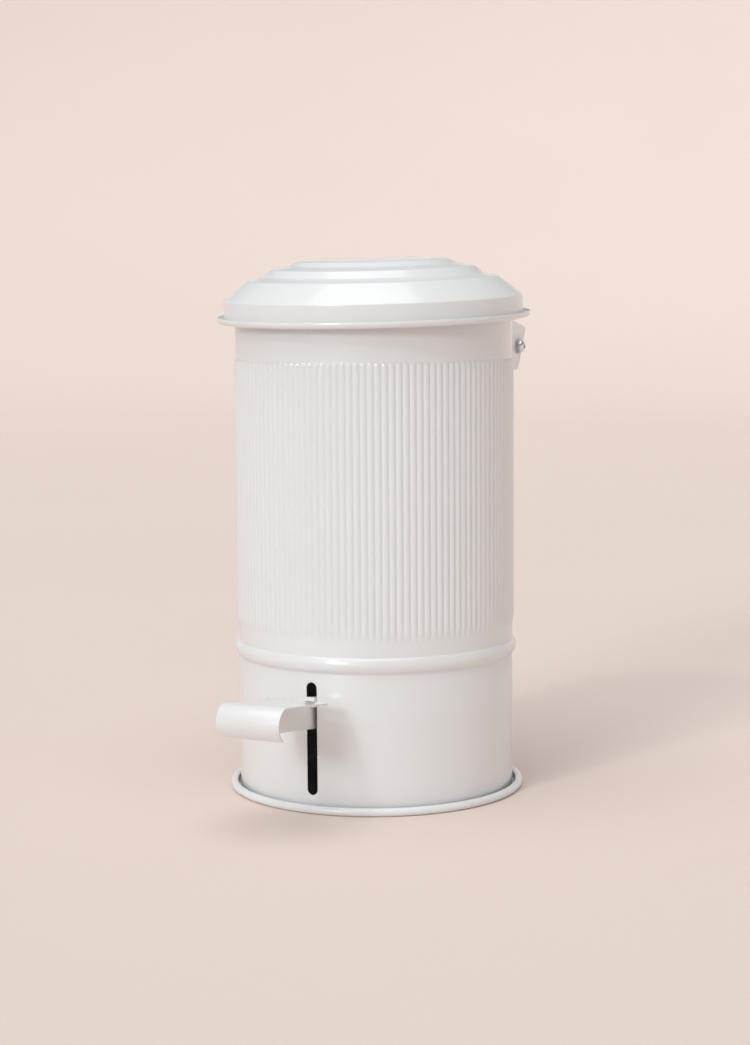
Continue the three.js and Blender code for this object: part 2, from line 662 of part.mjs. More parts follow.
const screwSeat = EAR_OUT + WASHER.thick + 2 * FIT;
const hingeScrew = () => {
  const { r: head, rise } = HINGE_SCREW_HEAD;
  const brim = 1;
  const dome = arc(0, 0, 1, 0, Math.PI / 2, 4).map((p) => v2(head * p.x, screwSeat + brim + (rise - brim) * p.y));
  dome[dome.length - 1].x = 0;
  const shankEnd = axleEnd - axleBore + 1;
  const profile = [v2(0, shankEnd), v2(HINGE_SCREW_R, shankEnd), v2(HINGE_SCREW_R, screwSeat), v2(head, screwSeat)];
  return alongX(turned([...profile, ...dome], 16));
};
for (const [side, hand] of [[-1, "left"], [1, "right"]]) {
  piece(bin, `hinge_bracket_${hand}`, hingeBracket(side), white());
  const screw = hingeScrew().rotateZ(side < 0 ? Math.PI : 0);
  piece(bin, `hinge_screw_${hand}`, screw.translate(0, HINGE.y, HINGE.z), chrome());
  const washerLow = EAR_OUT + FIT;
  const washer = alongX(ring(HINGE_SCREW_R + FIT, WASHER.r, washerLow, washerLow + WASHER.thick));
  piece(bin, `hinge_washer_${hand}`, washer.rotateZ(side < 0 ? Math.PI : 0).translate(0, HINGE.y, HINGE.z), zinc());
  earRivets.forEach((z, i) => {
    const seat = BODY_R + STRIP + 2 * FIT;
    const fixing = placeRadial(rivet(wallGrip), seat, z, side * earRivetAngle);
    piece(bin, `bracket_rivet_${hand}_${["lower", "upper"][i]}`, fixing, white());
  });
}

// ---- Lid ----------------------------------------------------------------------------------------------------
const webRivetZ = (WEB.low + WEB.high) / 2;
const webRivetAngle = Math.asin(WEB_RIVET_X / LID_SKIRT_R);

// The lid's outer surface from the skirt up to the middle, as (radius, height).
function lidTop(offset) {
  const shoulder = v2(LID_SKIRT_R - offset, LID_SHOULDER_Z - offset * 0.35);
  const steps = LID_STEPS.map(([inset, z]) => v2(LID_SKIRT_R - inset - offset * 0.35, z - offset * 1.05));
  return [shoulder, ...steps, v2(0, LID_STEPS.at(-1)[1] + LID_CROWN - offset)];
}

function lidShell() {
  const curlR = LID_SKIRT_R + LID_CURL_R - SHEET;
  const profile = [
    ...lidTop(0).reverse(),
    ...arc(curlR, LID_CURL_R, LID_CURL_R - SHEET, Math.PI, TURN + LID_CURL_END, 5),
    ...arc(curlR, LID_CURL_R, LID_CURL_R, TURN + LID_CURL_END, Math.PI, 7),
    ...lidTop(SHEET),
  ];
  const holes = [-1, 1].map((side) => placeRadial(rivetHole(4), LID_SKIRT_R, webRivetZ, side * webRivetAngle));
  return cut(turned(profile, SIDES), ...holes);
}
piece(lidGroup, "lid_shell", lidShell(), white());

const [hingeLidY, hingeLidZ] = inLid(HINGE.y, HINGE.z);
const [crankLidY, crankLidZ] = inLid(crankPin.y, crankPin.z);
const webSeat = LID_SKIRT_R + FIT;
const curlOut = LID_SKIRT_R + 2 * LID_CURL_R - SHEET; // outermost radius of the lid's curled edge
const armBoss = AXLE_R + EYE_WALL;

// Outline of an arm that leaves the strap's web, passes outside the lid's curled edge and ends in a boss.
function armOutline(webY) {
  const inner = curlOut + 1.6;
  return [
    [webY, WEB.high],
    [webY, WEB.low],
    [inner, WEB.low],
    ...circlePoints(hingeLidY, hingeLidZ, armBoss, Math.PI * 0.93, TURN, 10),
    [hingeLidY + armBoss + 1, WEB.low - 2],
    [hingeLidY + armBoss - 4, WEB.high],
  ];
}

const axleHole = (half) => alongX(bar(AXLE_R + FIT, -half, half)).translate(0, hingeLidY, hingeLidZ);

function hingeStrap() {
  const edge = Math.asin(STRAP_HALF / webSeat);
  const web = curvedPlate(webSeat, webSeat + STRIP, WEB.low, WEB.high, -edge, edge);
  const armY = Math.sqrt(webSeat ** 2 - (STRAP_HALF - STRIP) ** 2);
  const arms = [-1, 1].map((side) => {
    const outer = side * STRAP_HALF;
    const inner = side * (STRAP_HALF - STRIP);
    return plateYZ(armOutline(armY + 0.2), Math.min(inner, outer), Math.max(inner, outer));
  });
  const holes = [-1, 1].map((side) => placeRadial(rivetHole(4), webSeat, webRivetZ, side * webRivetAngle));
  return cut(join(web, ...arms), axleHole(STRAP_HALF + 2), ...holes);
}
piece(lidGroup, "lid_hinge_strap", hingeStrap(), white());

function lidCrank() {
  const plate = plateYZ(armOutline(webSeat + STRIP + FIT), -BAR / 2, BAR / 2);
  const reach = Math.hypot(crankLidY - hingeLidY, crankLidZ - hingeLidZ);
  const heading = Math.atan2(crankLidZ - hingeLidZ, crankLidY - hingeLidY);
  const lever = plateYZ(
    [
      ...circlePoints(0, 0, armBoss, Math.PI / 2, 1.5 * Math.PI, 6),
      ...circlePoints(reach, 0, CRANK_EYE, -Math.PI / 2, Math.PI / 2, 8),
    ],
    -BAR / 2,
    BAR / 2,
  );
  lever.rotateX(heading).translate(0, hingeLidY, hingeLidZ);
  const slotR = ROD_R + ROD_PLAY;
  const swing = reach * (1 - Math.cos(LID_OPENING / 2)); // the pin moves this far off its arc's chord
  const slot = plateYZ(
    [
      ...circlePoints(reach - swing, 0, slotR, Math.PI / 2, 1.5 * Math.PI, 6),
      ...circlePoints(reach, 0, slotR, -Math.PI / 2, Math.PI / 2, 6),
    ],
    -BAR,
    BAR,
  );
  slot.rotateX(heading).translate(0, hingeLidY, hingeLidZ);
  return cut(join(plate, lever), axleHole(BAR), slot);
}
piece(lidGroup, "lid_crank", lidCrank(), zinc());

for (const [side, hand] of [[-1, "left"], [1, "right"]]) {
  const seat = webSeat + STRIP + FIT;
  const grip = SHEET + STRIP + 3 * FIT + facetSag(LID_SKIRT_R);
  const fixing = placeRadial(rivet(grip), seat, webRivetZ, side * webRivetAngle);
  piece(lidGroup, `strap_rivet_${hand}`, fixing, white());
}

// Two rubber buffers under the lid's slope, over the body's rolled edge.
for (const [side, hand] of [[-1, "left"], [1, "right"]]) {
  const pad = turned(
    [
      v2(0, -BUFFER.thick),
      v2(BUFFER.r - 1, -BUFFER.thick),
      v2(BUFFER.r, -BUFFER.thick + 1),
      v2(BUFFER.r, 0),
      v2(0, 0),
    ],
    16,
  );
  pad.rotateX(-SLOPE);
  piece(lidGroup, `lid_buffer_${hand}`, placeRadial(pad, BUFFER_R, BUFFER_Z, side * BUFFER.angle), rubber());
}

// ---- Bucket and bail ----------------------------------------------------------------------------------------
const bucketFloor = SHELF_Z + FIT;
const lugX = BUCKET_R + FIT + LUG.thick / 2; // middle of each bail lug, welded to the bucket
const bailPivotZ = BUCKET_TOP - BAIL_PIVOT_DROP;

function bucket() {
  const rimZ = BUCKET_TOP - BUCKET_RIM_R;
  const rimR = BUCKET_R + BUCKET_RIM_R - SHEET;
  const corner = BUCKET_CORNER;
  return turned(
    [
      v2(0, bucketFloor),
      v2(BUCKET_BASE_R - corner, bucketFloor),
      v2(BUCKET_BASE_R, bucketFloor + corner),
      v2(BUCKET_R, rimZ - BUCKET_RIM_R - 1),
      ...arc(rimR, rimZ, BUCKET_RIM_R, -0.6 * Math.PI, 0.8 * Math.PI, 4),
      v2(BUCKET_R - SHEET, rimZ - BUCKET_RIM_R),
      v2(BUCKET_BASE_R - SHEET, bucketFloor + corner + 0.4),
      v2(BUCKET_BASE_R - corner - 0.4, bucketFloor + SHEET),
      v2(0, bucketFloor + SHEET),
    ],
    44,
  );
}
piece(bin, "bucket", bucket(), zinc());

for (const [side, hand] of [[-1, "left"], [1, "right"]]) {
  const plate = new THREE.BoxGeometry(LUG.thick, 2 * LUG.half, LUG.high - LUG.low);
  plate.translate(side * lugX, 0, bailPivotZ + (LUG.high + LUG.low) / 2);
  const hole = alongX(bar(BAIL_R + FIT, -4, 4, 12)).translate(side * lugX, 0, bailPivotZ);
  piece(bin, `bail_lug_${hand}`, cut(plate, hole), zinc());
}

const bailRise = BAIL_PIVOT_DROP + BAIL_R + 1.2; // bail plane above its pivot
const bailOut = BUCKET_R + 2 * BUCKET_RIM_R - SHEET + BAIL_SPARE + BAIL_R; // clear of the bucket's rolled rim

// Wire bail: a hook into each lug, a short upright outside the rim, and a half ring over the rim.
function bail() {
  const hookIn = lugX - LUG.thick / 2 - 0.2;
  const top = bailPivotZ + bailRise;
  const ringR = bailOut - 1.5;
  const leg = (side) => [
    new THREE.Vector3(side * hookIn, 0, bailPivotZ),
    new THREE.Vector3(side * (bailOut - 1), 0, bailPivotZ),
    new THREE.Vector3(side * bailOut, 0, bailPivotZ + 1),
    new THREE.Vector3(side * bailOut, 0, top - 3),
    new THREE.Vector3(side * (bailOut - 0.6), -1.2, top - 0.8),
  ];
  const half = arc(0, 0, ringR, Math.PI, TURN, 22).slice(1, -1);
  const over = half.map((p) => new THREE.Vector3(p.x, p.y, top));
  return wire([...leg(-1), ...over, ...leg(1).reverse()], BAIL_R, 8);
}
piece(bin, "bucket_bail", bail(), zinc());

export default bin;
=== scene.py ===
# A round pedal bin in painted sheet steel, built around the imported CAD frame.
# Lengths are metres, +Z is up, and a size is written in millimetres as n * MM.
import json
import math

import bmesh
import bpy
from mathutils import Matrix, Vector


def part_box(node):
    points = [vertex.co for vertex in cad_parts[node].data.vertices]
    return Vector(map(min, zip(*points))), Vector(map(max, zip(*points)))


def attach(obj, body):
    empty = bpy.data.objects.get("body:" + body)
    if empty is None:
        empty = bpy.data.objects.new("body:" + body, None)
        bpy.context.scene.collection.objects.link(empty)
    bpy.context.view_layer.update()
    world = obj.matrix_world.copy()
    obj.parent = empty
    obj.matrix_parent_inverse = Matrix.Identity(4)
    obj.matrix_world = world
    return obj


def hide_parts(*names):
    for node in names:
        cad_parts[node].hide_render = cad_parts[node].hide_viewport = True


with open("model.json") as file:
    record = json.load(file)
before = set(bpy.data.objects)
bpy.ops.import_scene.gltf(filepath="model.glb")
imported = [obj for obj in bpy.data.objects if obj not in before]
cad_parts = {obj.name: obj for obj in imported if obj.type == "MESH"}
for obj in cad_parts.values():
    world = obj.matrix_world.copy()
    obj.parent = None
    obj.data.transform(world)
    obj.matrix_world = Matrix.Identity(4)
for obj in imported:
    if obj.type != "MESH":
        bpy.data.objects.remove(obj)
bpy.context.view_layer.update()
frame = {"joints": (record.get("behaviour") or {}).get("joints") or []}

MM = 0.001
TURN = 2 * math.pi

# ---- Sizes shared by several pieces -----------------------------------------------------------------
FIT = 0.3 * MM
SHEET = 0.7 * MM
STRIP = 1.5 * MM
BAR = 2.0 * MM
SOFT_EDGE = 0.25 * MM  # rounding of cut sheet edges

joint_at = {joint["name"]: Vector(joint["pos_m"]) for joint in frame["joints"] if "pos_m" in joint}
HINGE = joint_at["lid_hinge"]
PIVOT = joint_at["pedal_press"]
BAIL_PIVOT = joint_at["bail_swing"]

EDGE_R = 2.0 * MM  # rolled edge of the body
BODY_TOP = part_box("body_shell")[1].z
BODY_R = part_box("body_shell")[1].x - 2 * EDGE_R + SHEET / 2  # over the ribs
FOOT_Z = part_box("body_shell")[0].z
RIBS = 128
RIB_DEPTH = 1.0 * MM
RIB_LOW, RIB_HIGH = 131 * MM, 341.5 * MM
RIB_FADE_LOW = 9 * MM
RIB_HALF_PITCH = math.pi * BODY_R / RIBS
WALL_R = BODY_R - RIB_DEPTH  # the plain wall above and below the ribs
BEAD_Z = 114 * MM
BEAD_HALF = 6 * MM
BEAD_PROUD = 2.9 * MM

LID_TILT = math.radians(2.25)
LID_SKIRT_R = BODY_R + 7.5 * MM
LID_CURL_R = 3.3 * MM
LID_CURL_END = 384  # degrees round the curl: its lip stands a little above the middle
LID_SHOULDER = 17.5 * MM
LID_CROWN = 47.8 * MM

LEVER_TILT = math.radians(7.2)
LEVER_TOP, LEVER_BOTTOM = 11.0 * MM, -10.2 * MM

ROD_R = 2.25 * MM
HOOK_PLAY = 0.8 * MM  # round the rod's hooks, in the lever's hole and the crank's slot
CLIP_THICK = 0.8 * MM
RIVET_HEAD_R = 3.4 * MM


# ---- Outlines ---------------------------------------------------------------------------------------
def rounded(points, closed=False, steps=6):
    """A line with rounded corners, each given as a point, (x, y, radius) or (Vector, radius)."""
    corners = []
    for p in points:
        if isinstance(p[0], Vector):
            corners.append((p[0].copy(), p[1]))
        else:
            corners.append((Vector(p[:2]), p[2] if len(p) > 2 else 0.0))
    line = []
    for i, (here, radius) in enumerate(corners):
        last = not closed and i in (0, len(corners) - 1)
        if last or radius <= 0:
            line.append(here)
            continue
        before = (corners[i - 1][0] - here).normalized()
        after = (corners[(i + 1) % len(corners)][0] - here).normalized()
        half = math.acos(max(-1.0, min(1.0, before.dot(after)))) / 2
        if half > math.pi / 2 - 1e-3:
            line.append(here)
            continue
        centre = here + (before + after).normalized() * (radius / math.sin(half))
        start = here + before * (radius / math.tan(half)) - centre
        end = here + after * (radius / math.tan(half)) - centre
        sweep = math.pi - 2 * half
        for k in range(steps + 1):
            t = k / steps
            spoke = start * math.sin((1 - t) * sweep) + end * math.sin(t * sweep)
            line.append(centre + spoke / math.sin(sweep))
    return line


def arc(x, y, radius, start, end, steps):
    """Points round (x, y) from one angle to another, in degrees."""
    angles = [math.radians(start + (end - start) * i / steps) for i in range(steps + 1)]
    return [Vector((x + radius * math.cos(a), y + radius * math.sin(a))) for a in angles]


def offset(line, distance):
    """The line moved to its right-hand side."""
    moved = []
    for i, here in enumerate(line):
        before = (here - line[i - 1]).normalized() if i else None
        after = (line[i + 1] - here).normalized() if i + 1 < len(line) else None
        first, second = before or after, after or before
        n1, n2 = Vector((first.y, -first.x)), Vector((second.y, -second.x))
        middle = (n1 + n2).normalized()
        moved.append(here + middle * (distance / max(0.5, middle.dot(n1))))
    return moved


def sheet(line, thickness):
    """Closed outline of a sheet: one face is the line, the other lies on its right-hand side."""
    far = offset(line, thickness)
    ends = []
    for a, b, heading in ((line[-1], far[-1], line[-1] - line[-2]), (far[0], line[0], line[0] - line[1])):
        ends.append((a + b) / 2 + heading.normalized() * thickness * 0.3)
    return line + [ends[0]] + far[::-1] + [ends[1]]


def circle(x, y, radius, steps=32):
    return arc(x, y, radius, 0, 360 * (1 - 1 / steps), steps - 1)


def stadium(x, low, high, radius):
    """A slot's outline, standing along the second axis."""
    return arc(x, high - radius, radius, 0, 180, 12) + arc(x, low + radius, radius, 180, 360, 12)


# ---- Meshes -----------------------------------------------------------------------------------------
YZ_ALONG_X = Matrix(((0, 0, 1, 0), (1, 0, 0, 0), (0, 1, 0, 0), (0, 0, 0, 1)))
XZ_ALONG_Y = Matrix(((1, 0, 0, 0), (0, 0, -1, 0), (0, 1, 0, 0), (0, 0, 0, 1)))
Z_TO_X = Matrix.Rotation(math.pi / 2, 4, "Y")
Z_TO_Y = Matrix.Rotation(-math.pi / 2, 4, "X")


def made(name, bm):
    """A mesh object from a bmesh, with its faces turned outwards."""
    bmesh.ops.recalc_face_normals(bm, faces=bm.faces)
    mesh = bpy.data.meshes.new(name)
    bm.to_mesh(mesh)
    bm.free()
    obj = bpy.data.objects.new(name, mesh)
    bpy.context.scene.collection.objects.link(obj)
    return obj


def turned(name, outline, steps=96):
    """A closed (radius, height) outline turned about Z. Points on the axis become one vertex."""
    bm = bmesh.new()
    rings = []
    for p in outline:
        if p.x < 1e-7:
            rings.append([bm.verts.new((0, 0, p.y))] * steps)
            continue
        ring = []
        for i in range(steps):
            a = TURN * i / steps
            ring.append(bm.verts.new((p.x * math.cos(a), p.x * math.sin(a), p.y)))
        rings.append(ring)
    for j, lower in enumerate(rings):
        upper = rings[(j + 1) % len(rings)]
        if lower[0] is lower[1] and upper[0] is upper[1]:
            continue
        for i in range(steps):
            k = (i + 1) % steps
            corners = []
            for v in (lower[i], lower[k], upper[k], upper[i]):
                if v not in corners:
                    corners.append(v)
            bm.faces.new(corners)
    return made(name, bm)


def prism(name, outline, low, high, axes=None):
    """A closed outline drawn out along the third axis, between two heights."""
    bm = bmesh.new()
    floor = [bm.verts.new((p.x, p.y, low)) for p in outline]
    roof = [bm.verts.new((p.x, p.y, high)) for p in outline]
    bm.faces.new(floor[::-1])
    bm.faces.new(roof)
    for i, v in enumerate(floor):
        k = (i + 1) % len(floor)
        bm.faces.new((v, floor[k], roof[k], roof[i]))
    obj = made(name, bm)
    if axes is not None:
        obj.data.transform(axes)
    return obj


def swept(name, path, radius, sides=24):
    """A round wire along a line of points, with softened ends."""
    lips = [(0.0, 0.72), (0.3, 1.0)]
    points, sizes = [], []
    start, end = (path[1] - path[0]).normalized(), (path[-1] - path[-2]).normalized()
    for along, size in lips:
        points.append(path[0] + start * along * radius)
        sizes.append(size)
    points += path[1:-1]
    sizes += [1.0] * (len(path) - 2)
    for along, size in lips[::-1]:
        points.append(path[-1] - end * along * radius)
        sizes.append(size)
    across = start.orthogonal().normalized()
    bm = bmesh.new()
    rings = []
    for i, (here, size) in enumerate(zip(points, sizes)):
        ahead = points[min(i + 1, len(points) - 1)] - points[max(i - 1, 0)]
        ahead.normalize()
        across = (across - ahead * across.dot(ahead)).normalized()
        side = ahead.cross(across)
        ring = []
        for k in range(sides):
            a = TURN * k / sides
            ring.append(bm.verts.new(here + (across * math.cos(a) + side * math.sin(a)) * radius * size))
        rings.append(ring)
    for lower, upper in zip(rings, rings[1:]):
        for k in range(sides):
            n = (k + 1) % sides
            bm.faces.new((lower[k], lower[n], upper[n], upper[k]))
    bm.faces.new(rings[0][::-1])
    bm.faces.new(rings[-1])
    return made(name, bm)


def settle(obj):
    """Applies the object's modifiers to its mesh."""
    graph = bpy.context.evaluated_depsgraph_get()
    mesh = bpy.data.meshes.new_from_object(obj.evaluated_get(graph))
    before = obj.data
    obj.modifiers.clear()
    obj.data = mesh
    bpy.data.meshes.remove(before)
    return obj


def boolean(obj, operation, *others):
    """Joins, cuts or keeps the common part of an object and others, which are used up."""
    for other in others:
        modifier = obj.modifiers.new("boolean", "BOOLEAN")
        modifier.operation = operation
        modifier.solver = "EXACT"
        modifier.object = other
        settle(obj)
        mesh = other.data
        bpy.data.objects.remove(other)
        bpy.data.meshes.remove(mesh)
    return obj


def soften(obj, width=SOFT_EDGE, segments=2, angle=40):
    """Rounds the sharp edges."""
    modifier = obj.modifiers.new("bevel", "BEVEL")
    modifier.width = width
    modifier.segments = segments
    modifier.limit_method = "ANGLE"
    modifier.angle_limit = math.radians(angle)
    return settle(obj)


def smooth(obj, angle=35):
    """Shades the mesh smoothly, but for edges sharper than the angle."""
    obj.data.polygons.foreach_set("use_smooth", [True] * len(obj.data.polygons))
    obj.data.set_sharp_from_angle(angle=math.radians(angle))
    return obj


def place(obj, matrix):
    """Moves the mesh itself, so that the object stays at the origin."""
    obj.data.transform(matrix)
    if matrix.determinant() < 0:
        obj.data.flip_normals()
    return obj


def drill(radius, depth, axes):
    """A round cutter along Z, centred, placed by a matrix."""
    return place(prism("cutter", circle(0, 0, radius), -depth, depth), axes)


# ---- Materials --------------------------------------------------------------------------------------
def material(name, colour, roughness, metallic=0.0, **sockets):
    """A principled material with its shader's uniform values set."""
    mat = bpy.data.materials.new(name)
    mat.use_nodes = True
    tree = mat.node_tree
    shader = tree.nodes["Principled BSDF"]
    shader.inputs["Base Color"].default_value = (*colour, 1)
    shader.inputs["Roughness"].default_value = roughness
    shader.inputs["Metallic"].default_value = metallic
    for socket, value in sockets.items():
        shader.inputs[socket.replace("_", " ")].default_value = value
    return mat


def noise(mat, scale, detail=2.0, stretch=None):
    """A noise texture in the part's own metres; stretch squeezes it along an axis."""
    tree = mat.node_tree
    coords = tree.nodes.new("ShaderNodeTexCoord")
    source = coords.outputs["Object"]
    if stretch:
        mapping = tree.nodes.new("ShaderNodeMapping")
        mapping.inputs["Scale"].default_value = stretch
        tree.links.new(source, mapping.inputs["Vector"])
        source = mapping.outputs["Vector"]
    texture = tree.nodes.new("ShaderNodeTexNoise")
    texture.inputs["Scale"].default_value = scale
    texture.inputs["Detail"].default_value = detail
    tree.links.new(source, texture.inputs["Vector"])
    return texture.outputs["Fac"]


def ramp(mat, factor, low, high, spread=(0.3, 0.7)):
    """Runs from one colour to another as the factor rises."""
    node = mat.node_tree.nodes.new("ShaderNodeValToRGB")
    for element, at, colour in zip(node.color_ramp.elements, spread, (low, high)):
        element.position = at
        element.color = (*colour, 1)
    mat.node_tree.links.new(factor, node.inputs["Fac"])
    return node.outputs["Color"]


def vary(mat, socket, value):
    mat.node_tree.links.new(value, mat.node_tree.nodes["Principled BSDF"].inputs[socket])


def vary_roughness(mat, factor, low, high):
    node = mat.node_tree.nodes.new("ShaderNodeMapRange")
    node.inputs["To Min"].default_value = low
    node.inputs["To Max"].default_value = high
    mat.node_tree.links.new(factor, node.inputs["Value"])
    vary(mat, "Roughness", node.outputs["Result"])


def bump(mat, height, strength, distance, below=None):
    node = mat.node_tree.nodes.new("ShaderNodeBump")
    node.inputs["Strength"].default_value = strength
    node.inputs["Distance"].default_value = distance
    mat.node_tree.links.new(height, node.inputs["Height"])
    if below is not None:
        mat.node_tree.links.new(below, node.inputs["Normal"])
    vary(mat, "Normal", node.outputs["Normal"])
    return node.outputs["Normal"]


def white_paint():
    """Smooth powder coat: slight orange peel, faint cloudiness, and a clear gloss over it."""
    mat = material("white_paint", (0.79, 0.8, 0.802), 0.3, Coat_Weight=0.6, Coat_Roughness=0.07)
    vary(mat, "Base Color", ramp(mat, noise(mat, 14, 3), (0.78, 0.792, 0.796), (0.798, 0.81, 0.813)))
    vary_roughness(mat, noise(mat, 60, 3), 0.26, 0.36)
    waves = bump(mat, noise(mat, 150, 1), 0.25, 0.05 * MM)
    bump(mat, noise(mat, 620, 2), 0.3, 0.02 * MM, waves)
    return mat


def zinc_steel():
    """Bright zinc plating: cloudy, with fine rolling lines."""
    mat = material("zinc_steel", (0.62, 0.63, 0.64), 0.36, 1.0)
    vary(mat, "Base Color", ramp(mat, noise(mat, 90, 4), (0.54, 0.55, 0.57), (0.7, 0.71, 0.71)))
    vary_roughness(mat, noise(mat, 260, 4), 0.27, 0.46)
    bump(mat, noise(mat, 900, 2, (1, 1, 0.06)), 0.25, 0.02 * MM)
    return mat


def chrome_screw():
    """Polished plating with fine turning marks."""
    mat = material("chrome_screw", (0.78, 0.79, 0.81), 0.12, 1.0)
    vary(mat, "Base Color", ramp(mat, noise(mat, 300, 2), (0.72, 0.73, 0.75), (0.83, 0.84, 0.86)))
    vary_roughness(mat, noise(mat, 700, 3), 0.07, 0.2)
    bump(mat, noise(mat, 1500, 2), 0.15, 0.01 * MM)
    return mat


def white_nylon():
    """Moulded nylon with a slightly grained skin."""
    depth = 0.6 * MM
    mat = material("white_nylon", (0.8, 0.79, 0.755), 0.48, Subsurface_Weight=0.08, Subsurface_Scale=depth)
    vary(mat, "Base Color", ramp(mat, noise(mat, 120, 2), (0.77, 0.76, 0.72), (0.82, 0.81, 0.78)))
    vary_roughness(mat, noise(mat, 300, 2), 0.42, 0.56)
    bump(mat, noise(mat, 2200, 3), 0.3, 0.02 * MM)
    return mat


def black_rubber():
    """Soft rubber with a dusty bloom."""
    mat = material("black_rubber", (0.03, 0.03, 0.03), 0.75, Sheen_Weight=0.15)
    vary(mat, "Base Color", ramp(mat, noise(mat, 400, 4), (0.022, 0.022, 0.022), (0.06, 0.058, 0.055)))
    vary_roughness(mat, noise(mat, 500, 2), 0.65, 0.85)
    bump(mat, noise(mat, 1800, 4), 0.4, 0.03 * MM)
    return mat


def galvanised_sheet():
    """Hot-dip zinc: crystal spangle in slightly different greys."""
    mat = material("galvanised_sheet", (0.58, 0.6, 0.61), 0.42, 1.0)
    tree = mat.node_tree
    coords = tree.nodes.new("ShaderNodeTexCoord")
    cells = tree.nodes.new("ShaderNodeTexVoronoi")
    cells.inputs["Scale"].default_value = 95
    cells.inputs["Randomness"].default_value = 1.0
    tree.links.new(coords.outputs["Object"], cells.inputs["Vector"])
    shade = tree.nodes.new("ShaderNodeSeparateColor")
    tree.links.new(cells.outputs["Color"], shade.inputs["Color"])
    grey = shade.outputs["Red"]
    vary(mat, "Base Color", ramp(mat, grey, (0.55, 0.57, 0.585), (0.66, 0.67, 0.68), (0.0, 1.0)))
    vary_roughness(mat, grey, 0.34, 0.45)
    bump(mat, noise(mat, 700, 3), 0.2, 0.02 * MM)
    return mat


MATERIALS = {
    make.__name__: make()
    for make in (white_paint, zinc_steel, chrome_screw, white_nylon, black_rubber, galvanised_sheet)
}


def finish_piece(obj, body, slot, *nodes, angle=35):
    """Paints a finished piece, hangs it on its body and lets it stand for its CAD nodes."""
    smooth(obj, angle)
    obj.data.materials.clear()
    obj.data.materials.append(MATERIALS[slot])
    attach(obj, body)
    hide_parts(*nodes)


# ---- Camera, floor and light ------------------------------------------------------------------------
CAMERA_AZIMUTH = math.radians(26.7)
CAMERA_DISTANCE = 1740 * MM
CAMERA_HEIGHT = 410.7 * MM
CAMERA_PITCH = math.radians(6.574)
CAMERA_ROLL = math.radians(-0.408)
CAMERA_LENS = 75.96
CAMERA_SENSOR = 36  # its long side


def round_the_bin(azimuth, distance, height):
    """A point round the body's axis: azimuth 0 is on the pedal's side, and it grows towards +X."""
    return Vector((distance * math.sin(azimuth), -distance * math.cos(azimuth), height))


def add_camera():
    data = bpy.data.cameras.new("camera")
    data.sensor_width = CAMERA_SENSOR
    data.lens = CAMERA_LENS
    camera = bpy.data.objects.new("camera", data)
    turn = Matrix.Rotation(CAMERA_AZIMUTH, 4, "Z")
    pitch = Matrix.Rotation(math.pi / 2 - CAMERA_PITCH, 4, "X")
    roll = Matrix.Rotation(CAMERA_ROLL, 4, "Z")
    at = round_the_bin(CAMERA_AZIMUTH, CAMERA_DISTANCE, CAMERA_HEIGHT)
    camera.matrix_world = Matrix.Translation(at) @ turn @ pitch @ roll
    bpy.context.scene.collection.objects.link(camera)
    bpy.context.scene.camera = camera


def add_floor():
    """A round pale floor that curves up on every side, beyond the camera."""
    floor_r, bend_r, bend_end = 4.2, 3.4, -26
    line = [Vector((0, 0))] + arc(floor_r, bend_r, bend_r, -90, bend_end, 40)
    bm = bmesh.new()
    steps = 96
    rings = []
    for p in line:
        if p.x < 1e-7:
            rings.append([bm.verts.new((0, 0, p.y))] * steps)
        else:
            spokes = [TURN * i / steps for i in range(steps)]
            rings.append([bm.verts.new((p.x * math.cos(a), p.x * math.sin(a), p.y)) for a in spokes])
    for lower, upper in zip(rings, rings[1:]):
        for i in range(steps):
            k = (i + 1) % steps
            corners = [lower[i], upper[i], upper[k]] + ([lower[k]] if lower[k] is not lower[i] else [])
            bm.faces.new(corners)
    floor = made("floor", bm)
    smooth(floor)
    mat = material("backdrop", (0.79, 0.665, 0.61), 0.95)
    vary(mat, "Base Color", ramp(mat, noise(mat, 1.2, 2), (0.785, 0.66, 0.605), (0.795, 0.672, 0.617)))
    floor.data.materials.append(mat)


def add_light(name, azimuth, distance, height, size, power, colour=(1, 1, 1), aim=0.2):
    data = bpy.data.lights.new(name, "AREA")
    data.shape = "RECTANGLE"
    data.size, data.size_y = size
    data.energy = power
    data.color = colour
    light = bpy.data.objects.new(name, data)
    at = round_the_bin(CAMERA_AZIMUTH + math.radians(azimuth), distance, height)
    look = (Vector((0, 0, aim)) - at).to_track_quat("-Z", "Y")
    light.matrix_world = Matrix.Translation(at) @ look.to_matrix().to_4x4()
    bpy.context.scene.collection.objects.link(light)


def add_sun(name, azimuth, elevation, strength, angle, colour=(1, 1, 1)):
    """A soft far light from an azimuth round the camera's side and an elevation."""
    data = bpy.data.lights.new(name, "SUN")
    data.energy = strength
    data.angle = math.radians(angle)
    data.color = colour
    light = bpy.data.objects.new(name, data)
    up = math.radians(elevation)
    heading = round_the_bin(CAMERA_AZIMUTH + math.radians(azimuth), math.cos(up), math.sin(up))
    light.rotation_euler = heading.to_track_quat("Z", "Y").to_euler()
    bpy.context.scene.collection.objects.link(light)


def add_lights():
    add_sun("key", -40, 40, 0.32, 5, (1.0, 0.99, 0.98))
    add_sun("front", -32, 20, 0.94, 16, (0.91, 0.975, 1.0))
    add_sun("overhead", -30, 77, 1.38, 60)
    add_sun("back", 175, 40, 0.22, 100)
    add_light("strip", 84, 1.5, 0.95, (0.2, 1.2), 0.3, (0.95, 0.98, 1.0), aim=0.3)
    world = bpy.data.worlds.new("studio")
    world.use_nodes = True
    world.node_tree.nodes["Background"].inputs["Color"].default_value = (0.96, 0.985, 1.0, 1)
    world.node_tree.nodes["Background"].inputs["Strength"].default_value = 0.35
    scene = bpy.context.scene
    scene.world = world
    scene.view_settings.view_transform = "Standard"


